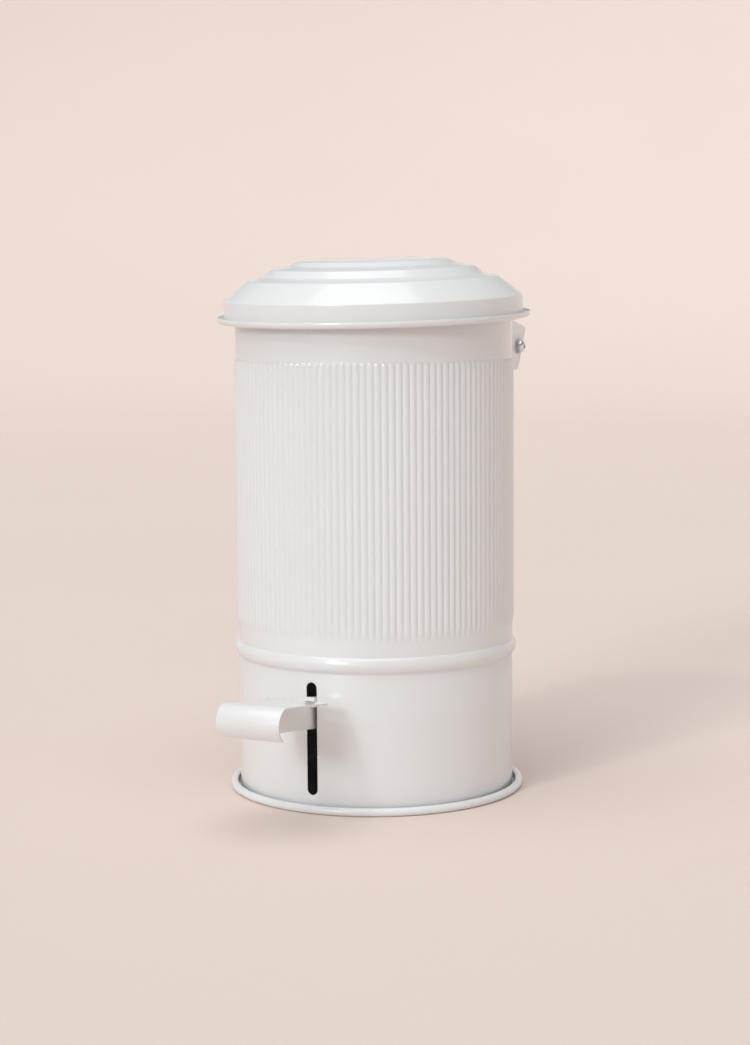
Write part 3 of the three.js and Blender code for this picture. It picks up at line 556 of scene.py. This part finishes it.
# ---- Body -------------------------------------------------------------------------------------------
def slot_cutter(low, high, width, y):
    outline = stadium(0, low, high, width / 2)
    return place(prism("cutter", outline, -8 * MM, 8 * MM, XZ_ALONG_Y), Matrix.Translation((0, y, 0)))


def radial(radius, z, angle):
    """The matrix that puts a piece made along +Y at a radius, a height and an angle from +Y towards +X."""
    return Matrix.Rotation(-angle, 4, "Z") @ Matrix.Translation((0, radius, z))


def rib_height(angle, z):
    """Share of the ribs' depth at a point of the wall: narrow valleys, domed tops and faded feet."""
    across = abs((angle * RIBS / TURN + 0.5) % 1 - 0.5) * 2
    along = max(0.0, (z - RIB_HIGH) / RIB_HALF_PITCH + 1)
    dome = math.cos(math.pi / 2 * min(1.0, math.hypot(across, along)))
    up = min(1.0, max(0.0, (z - RIB_LOW) / RIB_FADE_LOW))
    return dome * up * up * (3 - 2 * up)


def body_wall():
    """The sheet cylinder with its turned-in foot, groove, bead, ribs and rolled edge."""
    inside_foot = BODY_R - 9 * MM
    line = rounded([(inside_foot, FOOT_Z), (WALL_R, FOOT_Z, 1.2 * MM), (WALL_R, 20 * MM)], steps=3)
    line.append(Vector((WALL_R, 65 * MM)))
    groove, groove_depth = 3 * MM, 0.35 * MM  # the swage leaves a faint groove under the bead
    for i in range(4):
        dip = groove_depth * math.sin(math.pi * i / 4)
        line.append(Vector((WALL_R - dip, BEAD_Z - BEAD_HALF - groove * (1 - i / 4))))
    for i in range(11):
        t = 0.5 - 0.5 * math.cos(math.pi * i / 10)
        swell = math.sin(math.pi * t) ** 0.6
        line.append(Vector((WALL_R + BEAD_PROUD * swell, BEAD_Z + BEAD_HALF * (2 * t - 1))))
    heights = [RIB_LOW - 0.4 * MM] + [RIB_LOW + RIB_FADE_LOW * i / 4 for i in range(5)]
    full_low, full_high = RIB_LOW + RIB_FADE_LOW, RIB_HIGH - 8 * MM
    heights += [(full_low + full_high) / 2, full_high]
    heights += [RIB_HIGH - RIB_HALF_PITCH * (1 - i / 5) for i in range(6)] + [RIB_HIGH + 0.3 * MM]
    line += [Vector((WALL_R, z)) for z in heights]
    line.append(Vector((WALL_R, 360 * MM)))
    curl_r = EDGE_R - SHEET
    line += arc(WALL_R + curl_r, BODY_TOP - EDGE_R, curl_r, 180, -80, 7)
    outline = sheet(line[::-1], SHEET)
    wall = turned("body_wall", outline, RIBS * 8)
    for v in wall.data.vertices:
        if RIB_LOW < v.co.z < RIB_HIGH:
            spoke = Vector((v.co.x, v.co.y, 0)).normalized()
            v.co += spoke * RIB_DEPTH * rib_height(math.atan2(v.co.y, v.co.x), v.co.z)
    return wall


FRONT_SLOT = (13.04 * MM, 100.01 * MM)
REAR_SLOT = (28.11 * MM, 78.63 * MM)
SLOT_WIDTH = 8.8 * MM
GUIDE_HEIGHTS = (150 * MM, 290 * MM)
ROD_X, ROD_Y = 7 * MM, 119.02 * MM
GUIDE_ANGLE = math.atan2(ROD_X, ROD_Y)
GUIDE_RIVET_ANGLE = math.radians(6.8)
EAR_RIVET_HEIGHTS = (336 * MM, 359 * MM)
EAR_RIVET_ANGLE = math.radians(30.07)
RIVET_SHANK_R = 1.8 * MM


def rivet_hole(radius, z, angle):
    """A cutter for a rivet's hole, at an angle from +Y towards +X."""
    return drill(RIVET_SHANK_R + FIT, 5 * MM, radial(radius, z, angle) @ Z_TO_Y)


def wall_rivets():
    """Height and angle of each rivet through the body wall, with its node."""
    rows = []
    for name, z in zip(("lower", "upper"), GUIDE_HEIGHTS):
        for side, hand in ((-1, "left"), (1, "right")):
            rows.append((f"guide_rivet_{name}_{hand}", z, GUIDE_ANGLE + side * GUIDE_RIVET_ANGLE))
    for side, hand in ((-1, "left"), (1, "right")):
        for name, z in zip(("lower", "upper"), EAR_RIVET_HEIGHTS):
            rows.append((f"bracket_rivet_{hand}_{name}", z, side * EAR_RIVET_ANGLE))
    return rows


def joined(name, *objects):
    """One object made of others that don't touch each other."""
    bm = bmesh.new()
    for obj in objects:
        bm.from_mesh(obj.data)
        mesh = obj.data
        bpy.data.objects.remove(obj)
        bpy.data.meshes.remove(mesh)
    return made(name, bm)


def build_body():
    wall = body_wall()
    cutters = [
        slot_cutter(*FRONT_SLOT, SLOT_WIDTH, -BODY_R),
        slot_cutter(*REAR_SLOT, SLOT_WIDTH, BODY_R),
    ]
    cutters += [rivet_hole(BODY_R, z, angle) for _, z, angle in wall_rivets()]
    boolean(wall, "DIFFERENCE", joined("cutters", *cutters))
    soften(wall, 0.22 * MM, 2, 75)
    finish_piece(wall, "bin_body", "white_paint", "body_shell", angle=50)


def build_pan():
    r, curl = 113.8 * MM, 3.2 * MM
    line = [Vector((0, 0)), Vector((60 * MM, 0)), Vector((108 * MM, 0))] + arc(r, curl, curl, -90, 145, 28)
    pan = turned("base_pan_pressing", from_axis(line, -SHEET), 192)
    finish_piece(pan, "bin_body", "white_paint", "base_pan")


def from_axis(line, thickness):
    """Closed outline of a turned sheet that starts on the axis."""
    far = offset(line, thickness)
    far[0].x = 0
    end = (line[-1] + far[-1]) / 2 + (line[-1] - line[-2]).normalized() * abs(thickness) * 0.3
    return line + [end] + far[::-1]


def build_shelf():
    r, top, flange = 108.1 * MM, 117 * MM, 9 * MM
    line = rounded([(0, top), (40 * MM, top), (80 * MM, top), (r, top, 2.4 * MM), (r, top - flange)])
    shelf = turned("shelf_disc", from_axis(line, SHEET), 144)
    finish_piece(shelf, "bin_body", "zinc_steel", "bucket_shelf")


# ---- Lever bracket and its pin ----------------------------------------------------------------------
CHEEK_INSIDE, CHEEK_OUTSIDE = 5 * MM, 6.5 * MM
EYE_WALL = 5 * MM
PIN_R = 3 * MM


def plate(name, outline, low, high, *holes, width=SOFT_EDGE):
    """A flat plate from a (y, z) outline, between two X positions, with holes drilled and edges rounded."""
    obj = prism(name, outline, low, high, YZ_ALONG_X)
    if holes:
        boolean(obj, "DIFFERENCE", *holes)
    return soften(obj, width) if width else obj


def hole_x(y, z, radius, depth=20 * MM):
    return drill(radius, depth, Matrix.Translation((0, y, z)) @ Z_TO_X)


def build_lever_bracket():
    y, z = PIVOT.y, PIVOT.z
    base, half, toe = 1.0 * MM, 24 * MM, 8 * MM
    out, high = CHEEK_OUTSIDE, z + 20 * MM
    line = rounded([(-out, high), (-out, base, 2.2 * MM), (out, base, 2.2 * MM), (out, high)])
    channel = prism("lever_channel", sheet(line, -STRIP), -y - half, -y + half, XZ_ALONG_Y)
    low = -5 * MM
    cheek = rounded([(y - half, low), (y + half, low), (y + half, base + toe, 3 * MM)])
    cheek += arc(y, z, PIN_R + EYE_WALL, 12, 168, 24)
    cheek += rounded([(y, z), (y - half, base + toe, 3 * MM), (y - half, low)])[1:-1]
    boolean(channel, "INTERSECT", prism("cutter", cheek, -12 * MM, 12 * MM, YZ_ALONG_X))
    boolean(channel, "DIFFERENCE", hole_x(y, z, PIN_R + FIT))
    finish_piece(soften(channel), "bin_body", "zinc_steel", "lever_bracket")


def lathe_x(name, outline, at, steps=48, flip=False):
    """A piece turned about X: its outline's heights run along X from the given point."""
    obj = turned(name, outline, steps)
    turn = Matrix.Rotation(math.pi, 4, "Z") if flip else Matrix()
    return place(obj, Matrix.Translation(at) @ turn @ Z_TO_X)


def ring_outline(inner, outer, low, high, edge=0.15 * MM):
    corners = [(inner, low, edge), (outer, low, edge), (outer, high, edge), (inner, high, edge)]
    return rounded(corners, closed=True, steps=2)


def build_pivot():
    seat = CHEEK_OUTSIDE + FIT
    end, head_r, head = seat + CLIP_THICK + 1.4 * MM, PIN_R + 1.6 * MM, seat + 1.8 * MM
    outline = rounded(
        [
            (0, -end), (PIN_R, -end, 0.7 * MM), (PIN_R, seat), (head_r, seat, 0.2 * MM),
            (head_r, head, 0.7 * MM), (0, head),
        ]
    )
    finish_piece(lathe_x("lever_rivet_pin", outline, PIVOT), "bin_body", "zinc_steel", "lever_pin")
    outline = ring_outline(PIN_R + FIT, PIN_R + 2.6 * MM, -seat - CLIP_THICK, -seat)
    finish_piece(lathe_x("lever_push_clip", outline, PIVOT), "bin_body", "zinc_steel", "lever_pin_clip")
    for side, hand in ((-1, "left"), (1, "right")):
        ends = sorted((side * (BAR / 2 + FIT), side * (CHEEK_INSIDE - FIT)))
        outline = ring_outline(PIN_R + FIT, PIN_R + 2.5 * MM, *ends, edge=0.3 * MM)
        bush = lathe_x(f"bush_{hand}", outline, PIVOT)
        finish_piece(bush, "bin_body", "white_nylon", f"lever_spacer_{hand}")


# ---- Pedal ------------------------------------------------------------------------------------------
LEVER_FRAME = Matrix.Translation(PIVOT) @ Matrix.Rotation(-LEVER_TILT, 4, "X")
PAD_CURL = Vector((-256.27 * MM, -0.2 * MM))
PAD_CURL_R = 12.94 * MM
PAD_CURL_END = 248  # degrees round the curl, where 90 is its top and 180 its foremost point
TAIL_REACH = 59.29 * MM


def build_pedal():
    shoulder, half = TAIL_REACH - 18 * MM, 6.5 * MM
    front, taper = PAD_CURL.x, -20 * MM
    outline = [Vector((front, LEVER_BOTTOM)), Vector((taper, LEVER_BOTTOM)), Vector((shoulder, -half))]
    outline += arc(TAIL_REACH, 0, half, -90, 90, 24)
    outline += [Vector((shoulder, half)), Vector((taper, LEVER_TOP)), Vector((front, LEVER_TOP))]
    holes = [hole_x(0, 0, PIN_R + FIT), hole_x(TAIL_REACH, 0, ROD_R + HOOK_PLAY)]
    lever = plate("lever_bar", outline, -BAR / 2, BAR / 2, *holes, width=0.35 * MM)
    finish_piece(place(lever, LEVER_FRAME), "pedal", "white_paint", "pedal_lever")

    rear, top, half = -192.87 * MM, LEVER_TOP + FIT + STRIP, 26 * MM
    bent = [Vector((rear, top)), Vector((rear - 20 * MM, top)), Vector((PAD_CURL.x + 15 * MM, top))]
    bent += arc(PAD_CURL.x, PAD_CURL.y, PAD_CURL_R, 90, PAD_CURL_END, 36)
    pad = prism("pad_sheet", sheet(bent, -STRIP), -half, half, YZ_ALONG_X)
    beyond, corner = -400 * MM, 2.5 * MM
    corners = [(-half, beyond), (half, beyond), (half, rear, corner), (-half, rear, corner)]
    plan = rounded(corners, closed=True)
    boolean(pad, "INTERSECT", prism("cutter", plan, -50 * MM, 50 * MM))
    soften(pad, 0.4 * MM, 3)
    finish_piece(place(pad, LEVER_FRAME), "pedal", "white_paint", "pedal_pad")

    front, back, low, high = -175.65 * MM, -152.85 * MM, 6.5 * MM, 14 * MM
    edge, half, past, grip = 1.0 * MM, 4.1 * MM, 10 * MM, BAR / 2 + FIT
    outline = rounded([(front, low), (back, low), (back, high, edge), (front, high, edge)], closed=True)
    block = prism("shoe_block", outline, -half, half, YZ_ALONG_X)
    slot = [Vector((front - past, -past)), Vector((back + past, -past))]
    slot += [Vector((back + past, LEVER_TOP + FIT)), Vector((front - past, LEVER_TOP + FIT))]
    boolean(block, "DIFFERENCE", prism("cutter", slot, -grip, grip, YZ_ALONG_X))
    soften(block, 0.4 * MM, 3)
    finish_piece(place(block, LEVER_FRAME), "pedal", "white_nylon", "lever_guide_shoe")


# ---- Push rod and its guides ------------------------------------------------------------------------
ROD_LOW, ROD_HIGH = 45.77 * MM, 338.37 * MM
CLIP_AT = -BAR / 2 - 0.8 * MM  # the clips' faces, beside the lever's tail and the crank


def build_push_rod():
    bend, hook = 5 * MM, CLIP_AT - CLIP_THICK - 3.4 * MM
    path = rounded(
        [
            (Vector((hook, ROD_Y, ROD_LOW)), 0),
            (Vector((ROD_X, ROD_Y, ROD_LOW)), bend),
            (Vector((ROD_X, ROD_Y, ROD_HIGH)), bend),
            (Vector((hook, ROD_Y, ROD_HIGH)), 0),
        ],
        steps=12,
    )
    finish_piece(swept("rod_wire", path, ROD_R, 32), "push_rod", "zinc_steel", "push_rod")
    for name, z in (("lower", ROD_LOW), ("upper", ROD_HIGH)):
        outline = ring_outline(ROD_R + FIT, ROD_R + 3 * MM, CLIP_AT - CLIP_THICK, CLIP_AT)
        clip = lathe_x(f"rod_push_clip_{name}", outline, Vector((0, ROD_Y, z)))
        finish_piece(clip, "push_rod", "zinc_steel", f"rod_clip_{name}")


def build_rod_guides():
    seat, inside = BODY_R + FIT, ROD_R + 0.5 * MM
    centre = math.hypot(ROD_X, ROD_Y)
    flange = math.degrees(GUIDE_RIVET_ANGLE) + 2.4
    out = seat + STRIP
    foot, bend = math.degrees(math.asin((inside + STRIP) / out)), 0.8 * MM
    for name, z in zip(("lower", "upper"), GUIDE_HEIGHTS):
        # The strap's outer face in plan: round the wall, over the rod, and round the wall again.
        right = arc(0, 0, out, 90 - flange, 90 - foot, 8)
        left = arc(0, 0, out, 90 + foot, 90 + flange, 8)
        over = arc(0, centre, inside + STRIP, 0, 180, 20)
        corners = right[:-1] + [(right[-1], bend)] + over + [(left[0], bend)] + left[1:]
        strap = prism(f"omega_strap_{name}", sheet(rounded(corners), -STRIP), z - 6 * MM, z + 6 * MM)
        holes = [rivet_hole(seat, z, side * GUIDE_RIVET_ANGLE) for side in (-1, 1)]
        boolean(strap, "DIFFERENCE", *holes)
        place(soften(strap), Matrix.Rotation(-GUIDE_ANGLE, 4, "Z"))
        finish_piece(strap, "bin_body", "zinc_steel", f"rod_guide_{name}")


def dome(radius, low, high, steps):
    """A round head's outline, from its rim to the axis."""
    line = [Vector((radius * p.x, low + (high - low) * p.y)) for p in arc(0, 0, 1, 0, 90, steps)]
    line[-1].x = 0
    return line


def rivet(name, grip):
    """A domed rivet along +Y, its head's seat at y = 0, with a formed tail."""
    rise, brim, tail, tail_r = 1.5 * MM, 0.4 * MM, 1.2 * MM, 0.8 * RIVET_HEAD_R
    outline = rounded(
        [
            (0, -grip - tail), (tail_r, -grip - tail, 0.5 * MM), (tail_r, -grip, 0.2 * MM),
            (RIVET_SHANK_R, -grip), (RIVET_SHANK_R, 0), (RIVET_HEAD_R, 0, 0.1 * MM),
        ],
        steps=4,
    )
    outline += dome(RIVET_HEAD_R, brim, rise, 12)
    return place(turned(name, outline, 40), Z_TO_Y)


def build_wall_rivets():
    grip, seat = 3.34 * MM, BODY_R + STRIP + 2 * FIT
    for node, z, angle in wall_rivets():
        fixing = place(rivet(f"{node}_head", grip), radial(seat, z, angle))
        slot = "white_paint" if node.startswith("bracket") else "zinc_steel"
        finish_piece(fixing, "bin_body", slot, node)


# ---- Hinge ------------------------------------------------------------------------------------------
EAR_IN, EAR_OUT = 66.5 * MM, 68 * MM
SCREW_R = 2 * MM
AXLE_R = 3 * MM


def build_hinge_brackets():
    seat = BODY_R + FIT
    near, far = 24.57, 35.6  # the flange's ends, degrees from +Y; the bend into the ear lies beyond
    y, low, high = HINGE.y, HINGE.z - 19 * MM, HINGE.z + 22 * MM
    inside, tip, bend = 70 * MM, y + 14.4 * MM, 1.9 * MM
    around = arc(0, 0, seat, 90 - far, 90 - near, 10)
    corner = Vector((EAR_OUT, math.sqrt(seat**2 - EAR_OUT**2)))
    line = rounded([(EAR_OUT, y + 20 * MM), (corner, bend)] + around)
    side_view = rounded(
        [
            (inside, low), (y - 4 * MM, low), (y, low + 1.5 * MM, 5 * MM), (tip, high - 9 * MM, 1.5 * MM),
            (tip - 1 * MM, high - 6.6 * MM, 1.5 * MM), (y - 12 * MM, high), (inside, high),
        ],
        closed=True,
    )
    for side, hand in ((-1, "left"), (1, "right")):
        bracket = prism(f"ear_bracket_{hand}", sheet(line, STRIP), low, high)
        boolean(bracket, "INTERSECT", prism("cutter", side_view, 20 * MM, 90 * MM, YZ_ALONG_X))
        holes = [rivet_hole(seat, z, EAR_RIVET_ANGLE) for z in EAR_RIVET_HEIGHTS]
        boolean(bracket, "DIFFERENCE", hole_x(y, HINGE.z, SCREW_R + FIT, 90 * MM), *holes)
        soften(bracket)
        if side < 0:
            place(bracket, Matrix.Scale(-1, 4, (1, 0, 0)))
        finish_piece(bracket, "bin_body", "white_paint", f"hinge_bracket_{hand}")


def build_axle():
    end, bore, r = EAR_IN - FIT, 9 * MM, SCREW_R + FIT
    edge = 0.3 * MM
    outline = rounded(
        [
            (0, -end + bore), (r, -end + bore), (r, -end, edge), (AXLE_R, -end, edge),
            (AXLE_R, end, edge), (r, end, edge), (r, end - bore), (0, end - bore),
        ]
    )
    finish_piece(lathe_x("axle_tube", outline, HINGE), "bin_body", "zinc_steel", "hinge_axle")

    washer_thick = 1 * MM
    seat, head, brim, rise = EAR_OUT + washer_thick + 2 * FIT, 5 * MM, 1 * MM, 4 * MM
    tip, crown = end - bore + 1 * MM, seat + rise
    recess, recess_reach, recess_half = 1.6 * MM, 2.2 * MM, 0.45 * MM
    for side, hand in ((-1, "left"), (1, "right")):
        outline = rounded([(0, tip), (SCREW_R, tip, 0.4 * MM), (SCREW_R, seat), (head, seat, edge)])
        outline += dome(head, seat + brim, crown, 20)
        screw = turned(f"dome_screw_{hand}", outline, 64)
        arms = []
        for degrees in (20, 110):
            outline = stadium(0, -recess_reach, recess_reach, recess_half)
            arm = prism("cutter", outline, crown - recess, crown + 1 * MM)
            arms.append(place(arm, Matrix.Rotation(math.radians(degrees), 4, "Z")))
        boolean(screw, "DIFFERENCE", *arms)
        turn = Matrix.Rotation(math.pi, 4, "Z") if side < 0 else Matrix()
        place(screw, Matrix.Translation(HINGE) @ turn @ Z_TO_X)
        finish_piece(screw, "bin_body", "chrome_screw", f"hinge_screw_{hand}")
        near = EAR_OUT + FIT
        outline = ring_outline(SCREW_R + FIT, 6 * MM, near, near + washer_thick, edge=0.25 * MM)
        washer = lathe_x(f"flat_washer_{hand}", outline, HINGE, flip=side < 0)
        finish_piece(washer, "bin_body", "zinc_steel", f"hinge_washer_{hand}")


# ---- Lid --------------------------------------------------------------------------------------------
LID_Z = 371.2 * MM
LID_FRAME = Matrix.Translation((0, 0, LID_Z)) @ Matrix.Rotation(LID_TILT, 4, "X")
WEB_LOW, WEB_HIGH = 8.6 * MM, 17 * MM
WEB_SEAT = LID_SKIRT_R + FIT
WEB_RIVET_Z = (WEB_LOW + WEB_HIGH) / 2
WEB_RIVET_ANGLE = math.radians(6.35)
BOSS_R = AXLE_R + EYE_WALL
in_lid = LID_FRAME.inverted() @ HINGE
HINGE_IN_LID = Vector((in_lid.y, in_lid.z))


def build_lid():
    curl = LID_CURL_R - SHEET
    top = rounded(
        [
            (0, LID_CROWN), (56 * MM, 47 * MM, 1.6 * MM),
            (60.5 * MM, 46.2 * MM, 2 * MM), (66 * MM, 43 * MM, 3 * MM),
            (80.2 * MM, 40.6 * MM, 3 * MM), (86.6 * MM, 35 * MM, 4 * MM), (98.6 * MM, 32.4 * MM, 5 * MM),
            (LID_SKIRT_R, LID_SHOULDER, 1.8 * MM), (LID_SKIRT_R, LID_CURL_R + 1 * MM),
        ],
        steps=8,
    )
    top[1:1] = [Vector((20 * MM, LID_CROWN - 0.15 * MM)), Vector((40 * MM, LID_CROWN - 0.45 * MM))]
    line = top + arc(LID_SKIRT_R + curl, LID_CURL_R, curl, 180, LID_CURL_END, 32)
    lid = turned("lid_pressing", from_axis(line, SHEET), 240)
    holes = [rivet_hole(LID_SKIRT_R, WEB_RIVET_Z, side * WEB_RIVET_ANGLE) for side in (-1, 1)]
    boolean(lid, "DIFFERENCE", *holes)
    finish_piece(place(lid, LID_FRAME), "lid", "white_paint", "lid_shell", angle=30)


def arm_outline(web_y):
    """Side view of an arm: from the web, round outside the lid's curled edge, to the boss on the axle."""
    inner = LID_SKIRT_R + 2 * LID_CURL_R - SHEET + 1.6 * MM
    y, z = HINGE_IN_LID
    boss_start = 167.4  # degrees round the boss, where the arm's inner edge meets it
    corners = [(web_y, WEB_HIGH), (web_y, WEB_LOW), (inner, WEB_LOW, 1.2 * MM)]
    corners += arc(y, z, BOSS_R, boss_start, 360, 24)
    corners += [(y + BOSS_R + 1 * MM, WEB_LOW - 2 * MM, 5 * MM), (y + BOSS_R - 4 * MM, WEB_HIGH, 5 * MM)]
    return rounded(corners, closed=True)


def build_strap():
    half, bend, behind = 25.5 * MM, 2.4 * MM, 160 * MM
    around = math.degrees(math.asin(half / WEB_SEAT))
    web = arc(0, 0, WEB_SEAT, 90 - around, 90 + around, 20)
    middle = web[2:-2]  # the bends take up the web's ends
    line = rounded([(half, behind), (web[0], bend)] + middle + [(web[-1], bend), (-half, behind)])
    strap = prism("strap_sheet", sheet(line, STRIP), -60 * MM, 40 * MM)
    side_view = prism("cutter", arm_outline(100 * MM), -40 * MM, 40 * MM, YZ_ALONG_X)
    boolean(strap, "INTERSECT", side_view)
    holes = [rivet_hole(WEB_SEAT, WEB_RIVET_Z, side * WEB_RIVET_ANGLE) for side in (-1, 1)]
    boolean(strap, "DIFFERENCE", hole_x(*HINGE_IN_LID, AXLE_R + FIT, 60 * MM), *holes)
    finish_piece(place(soften(strap), LID_FRAME), "lid", "white_paint", "lid_hinge_strap")

    grip, seat = 3.35 * MM, WEB_SEAT + STRIP + FIT
    for side, hand in ((-1, "left"), (1, "right")):
        fixing = rivet(f"strap_fixing_{hand}", grip)
        place(fixing, LID_FRAME @ radial(seat, WEB_RIVET_Z, side * WEB_RIVET_ANGLE))
        finish_piece(fixing, "lid", "white_paint", f"strap_rivet_{hand}")


def build_crank():
    y, z = HINGE_IN_LID
    pin = LID_FRAME.inverted() @ Vector((0, ROD_Y, ROD_HIGH))
    reach = Vector((pin.y - y, pin.z - z))
    heading = math.degrees(math.atan2(reach.y, reach.x))
    eye, slot_r, half_travel = 5.8 * MM, ROD_R + HOOK_PLAY, math.radians(65 / 2)
    arm = prism("crank_plate", arm_outline(WEB_SEAT + STRIP + FIT), -BAR / 2, BAR / 2, YZ_ALONG_X)
    outline = arc(y, z, BOSS_R, heading + 90, heading + 270, 24)
    outline += arc(y + reach.x, z + reach.y, eye, heading - 90, heading + 90, 20)
    boolean(arm, "UNION", prism("cutter", outline, -BAR / 2, BAR / 2, YZ_ALONG_X))
    back = reach * math.cos(half_travel)  # the rod slides straight while the crank's eye swings
    outline = arc(y + back.x, z + back.y, slot_r, heading + 90, heading + 270, 12)
    outline += arc(y + reach.x, z + reach.y, slot_r, heading - 90, heading + 90, 12)
    slot = prism("cutter", outline, -5 * MM, 5 * MM, YZ_ALONG_X)
    boolean(arm, "DIFFERENCE", slot, hole_x(y, z, AXLE_R + FIT))
    finish_piece(place(soften(arm, 0.3 * MM), LID_FRAME), "lid", "zinc_steel", "lid_crank")


def build_buffers():
    r, thick = 5 * MM, 2 * MM
    slope, apart = math.radians(38.25), math.radians(150)
    for side, hand in ((-1, "left"), (1, "right")):
        outline = rounded([(0, -thick), (r, -thick, 1 * MM), (r, 0, 0.2 * MM), (0, 0)])
        buffer = place(turned(f"buffer_disc_{hand}", outline, 40), Matrix.Rotation(-slope, 4, "X"))
        place(buffer, LID_FRAME @ radial(BODY_R + 1.2 * MM, 20.98 * MM, side * apart))
        finish_piece(buffer, "lid", "black_rubber", f"lid_buffer_{hand}")


# ---- Bucket -----------------------------------------------------------------------------------------
BUCKET_R, BUCKET_BASE_R = 99 * MM, 95 * MM
BUCKET_FLOOR, BUCKET_TOP = 117.3 * MM, 364 * MM
BUCKET_RIM_R = 1.8 * MM
LUG_THICK = 1.2 * MM
BAIL_R = 1.75 * MM


def build_bucket():
    rim_z = BUCKET_TOP - BUCKET_RIM_R
    inner = BUCKET_RIM_R - SHEET
    wall = rounded(
        [
            (0, BUCKET_FLOOR), (50 * MM, BUCKET_FLOOR), (BUCKET_BASE_R, BUCKET_FLOOR, 5 * MM),
            (BUCKET_R, rim_z - 4 * MM, 8 * MM), (BUCKET_R, rim_z - 1 * MM),
        ]
    )
    line = wall + arc(BUCKET_R + inner, rim_z, inner, 180, -90, 20)
    bucket = turned("bucket_pressing", from_axis(line, -SHEET), 160)
    finish_piece(bucket, "bucket", "galvanised_sheet", "bucket")

    z = BAIL_PIVOT.z
    half, foot, head, corner = 9 * MM, z - 13 * MM, z + 4 * MM, 3 * MM
    corners = [(-half, foot, corner), (half, foot, corner), (half, head, corner), (-half, head, corner)]
    for side, hand in ((-1, "left"), (1, "right")):
        outline = rounded(corners, closed=True)
        low, high = sorted((side * (BUCKET_R + FIT), side * (BUCKET_R + FIT + LUG_THICK)))
        lug = plate(f"lug_plate_{hand}", outline, low, high, hole_x(0, z, BAIL_R + FIT, 120 * MM))
        finish_piece(lug, "bucket", "galvanised_sheet", f"bail_lug_{hand}")

    hook, out = BUCKET_R + 0.1 * MM, 104.25 * MM
    top, ring = z + 12.95 * MM, out - 1.5 * MM
    lean, low_bend, high_bend = -0.4 * MM, 1.6 * MM, 2.6 * MM
    path = [(Vector((-hook, 0, z)), 0), (Vector((-out, 0, z)), low_bend)]
    path.append((Vector((-out, lean, top)), high_bend))
    path += [(Vector((p.x, p.y, top)), 0) for p in arc(0, 0, ring, 183, 357, 72)]
    path.append((Vector((out, lean, top)), high_bend))
    path += [(Vector((out, 0, z)), low_bend), (Vector((hook, 0, z)), 0)]
    finish_piece(swept("bail_wire", rounded(path), BAIL_R, 24), "bail", "zinc_steel", "bucket_bail")


build_body()
build_pan()
build_shelf()
build_lever_bracket()
build_pivot()
build_pedal()
build_push_rod()
build_rod_guides()
build_wall_rivets()
build_hinge_brackets()
build_axle()
build_lid()
build_strap()
build_crank()
build_buffers()
build_bucket()

add_camera()
add_floor()
add_lights()
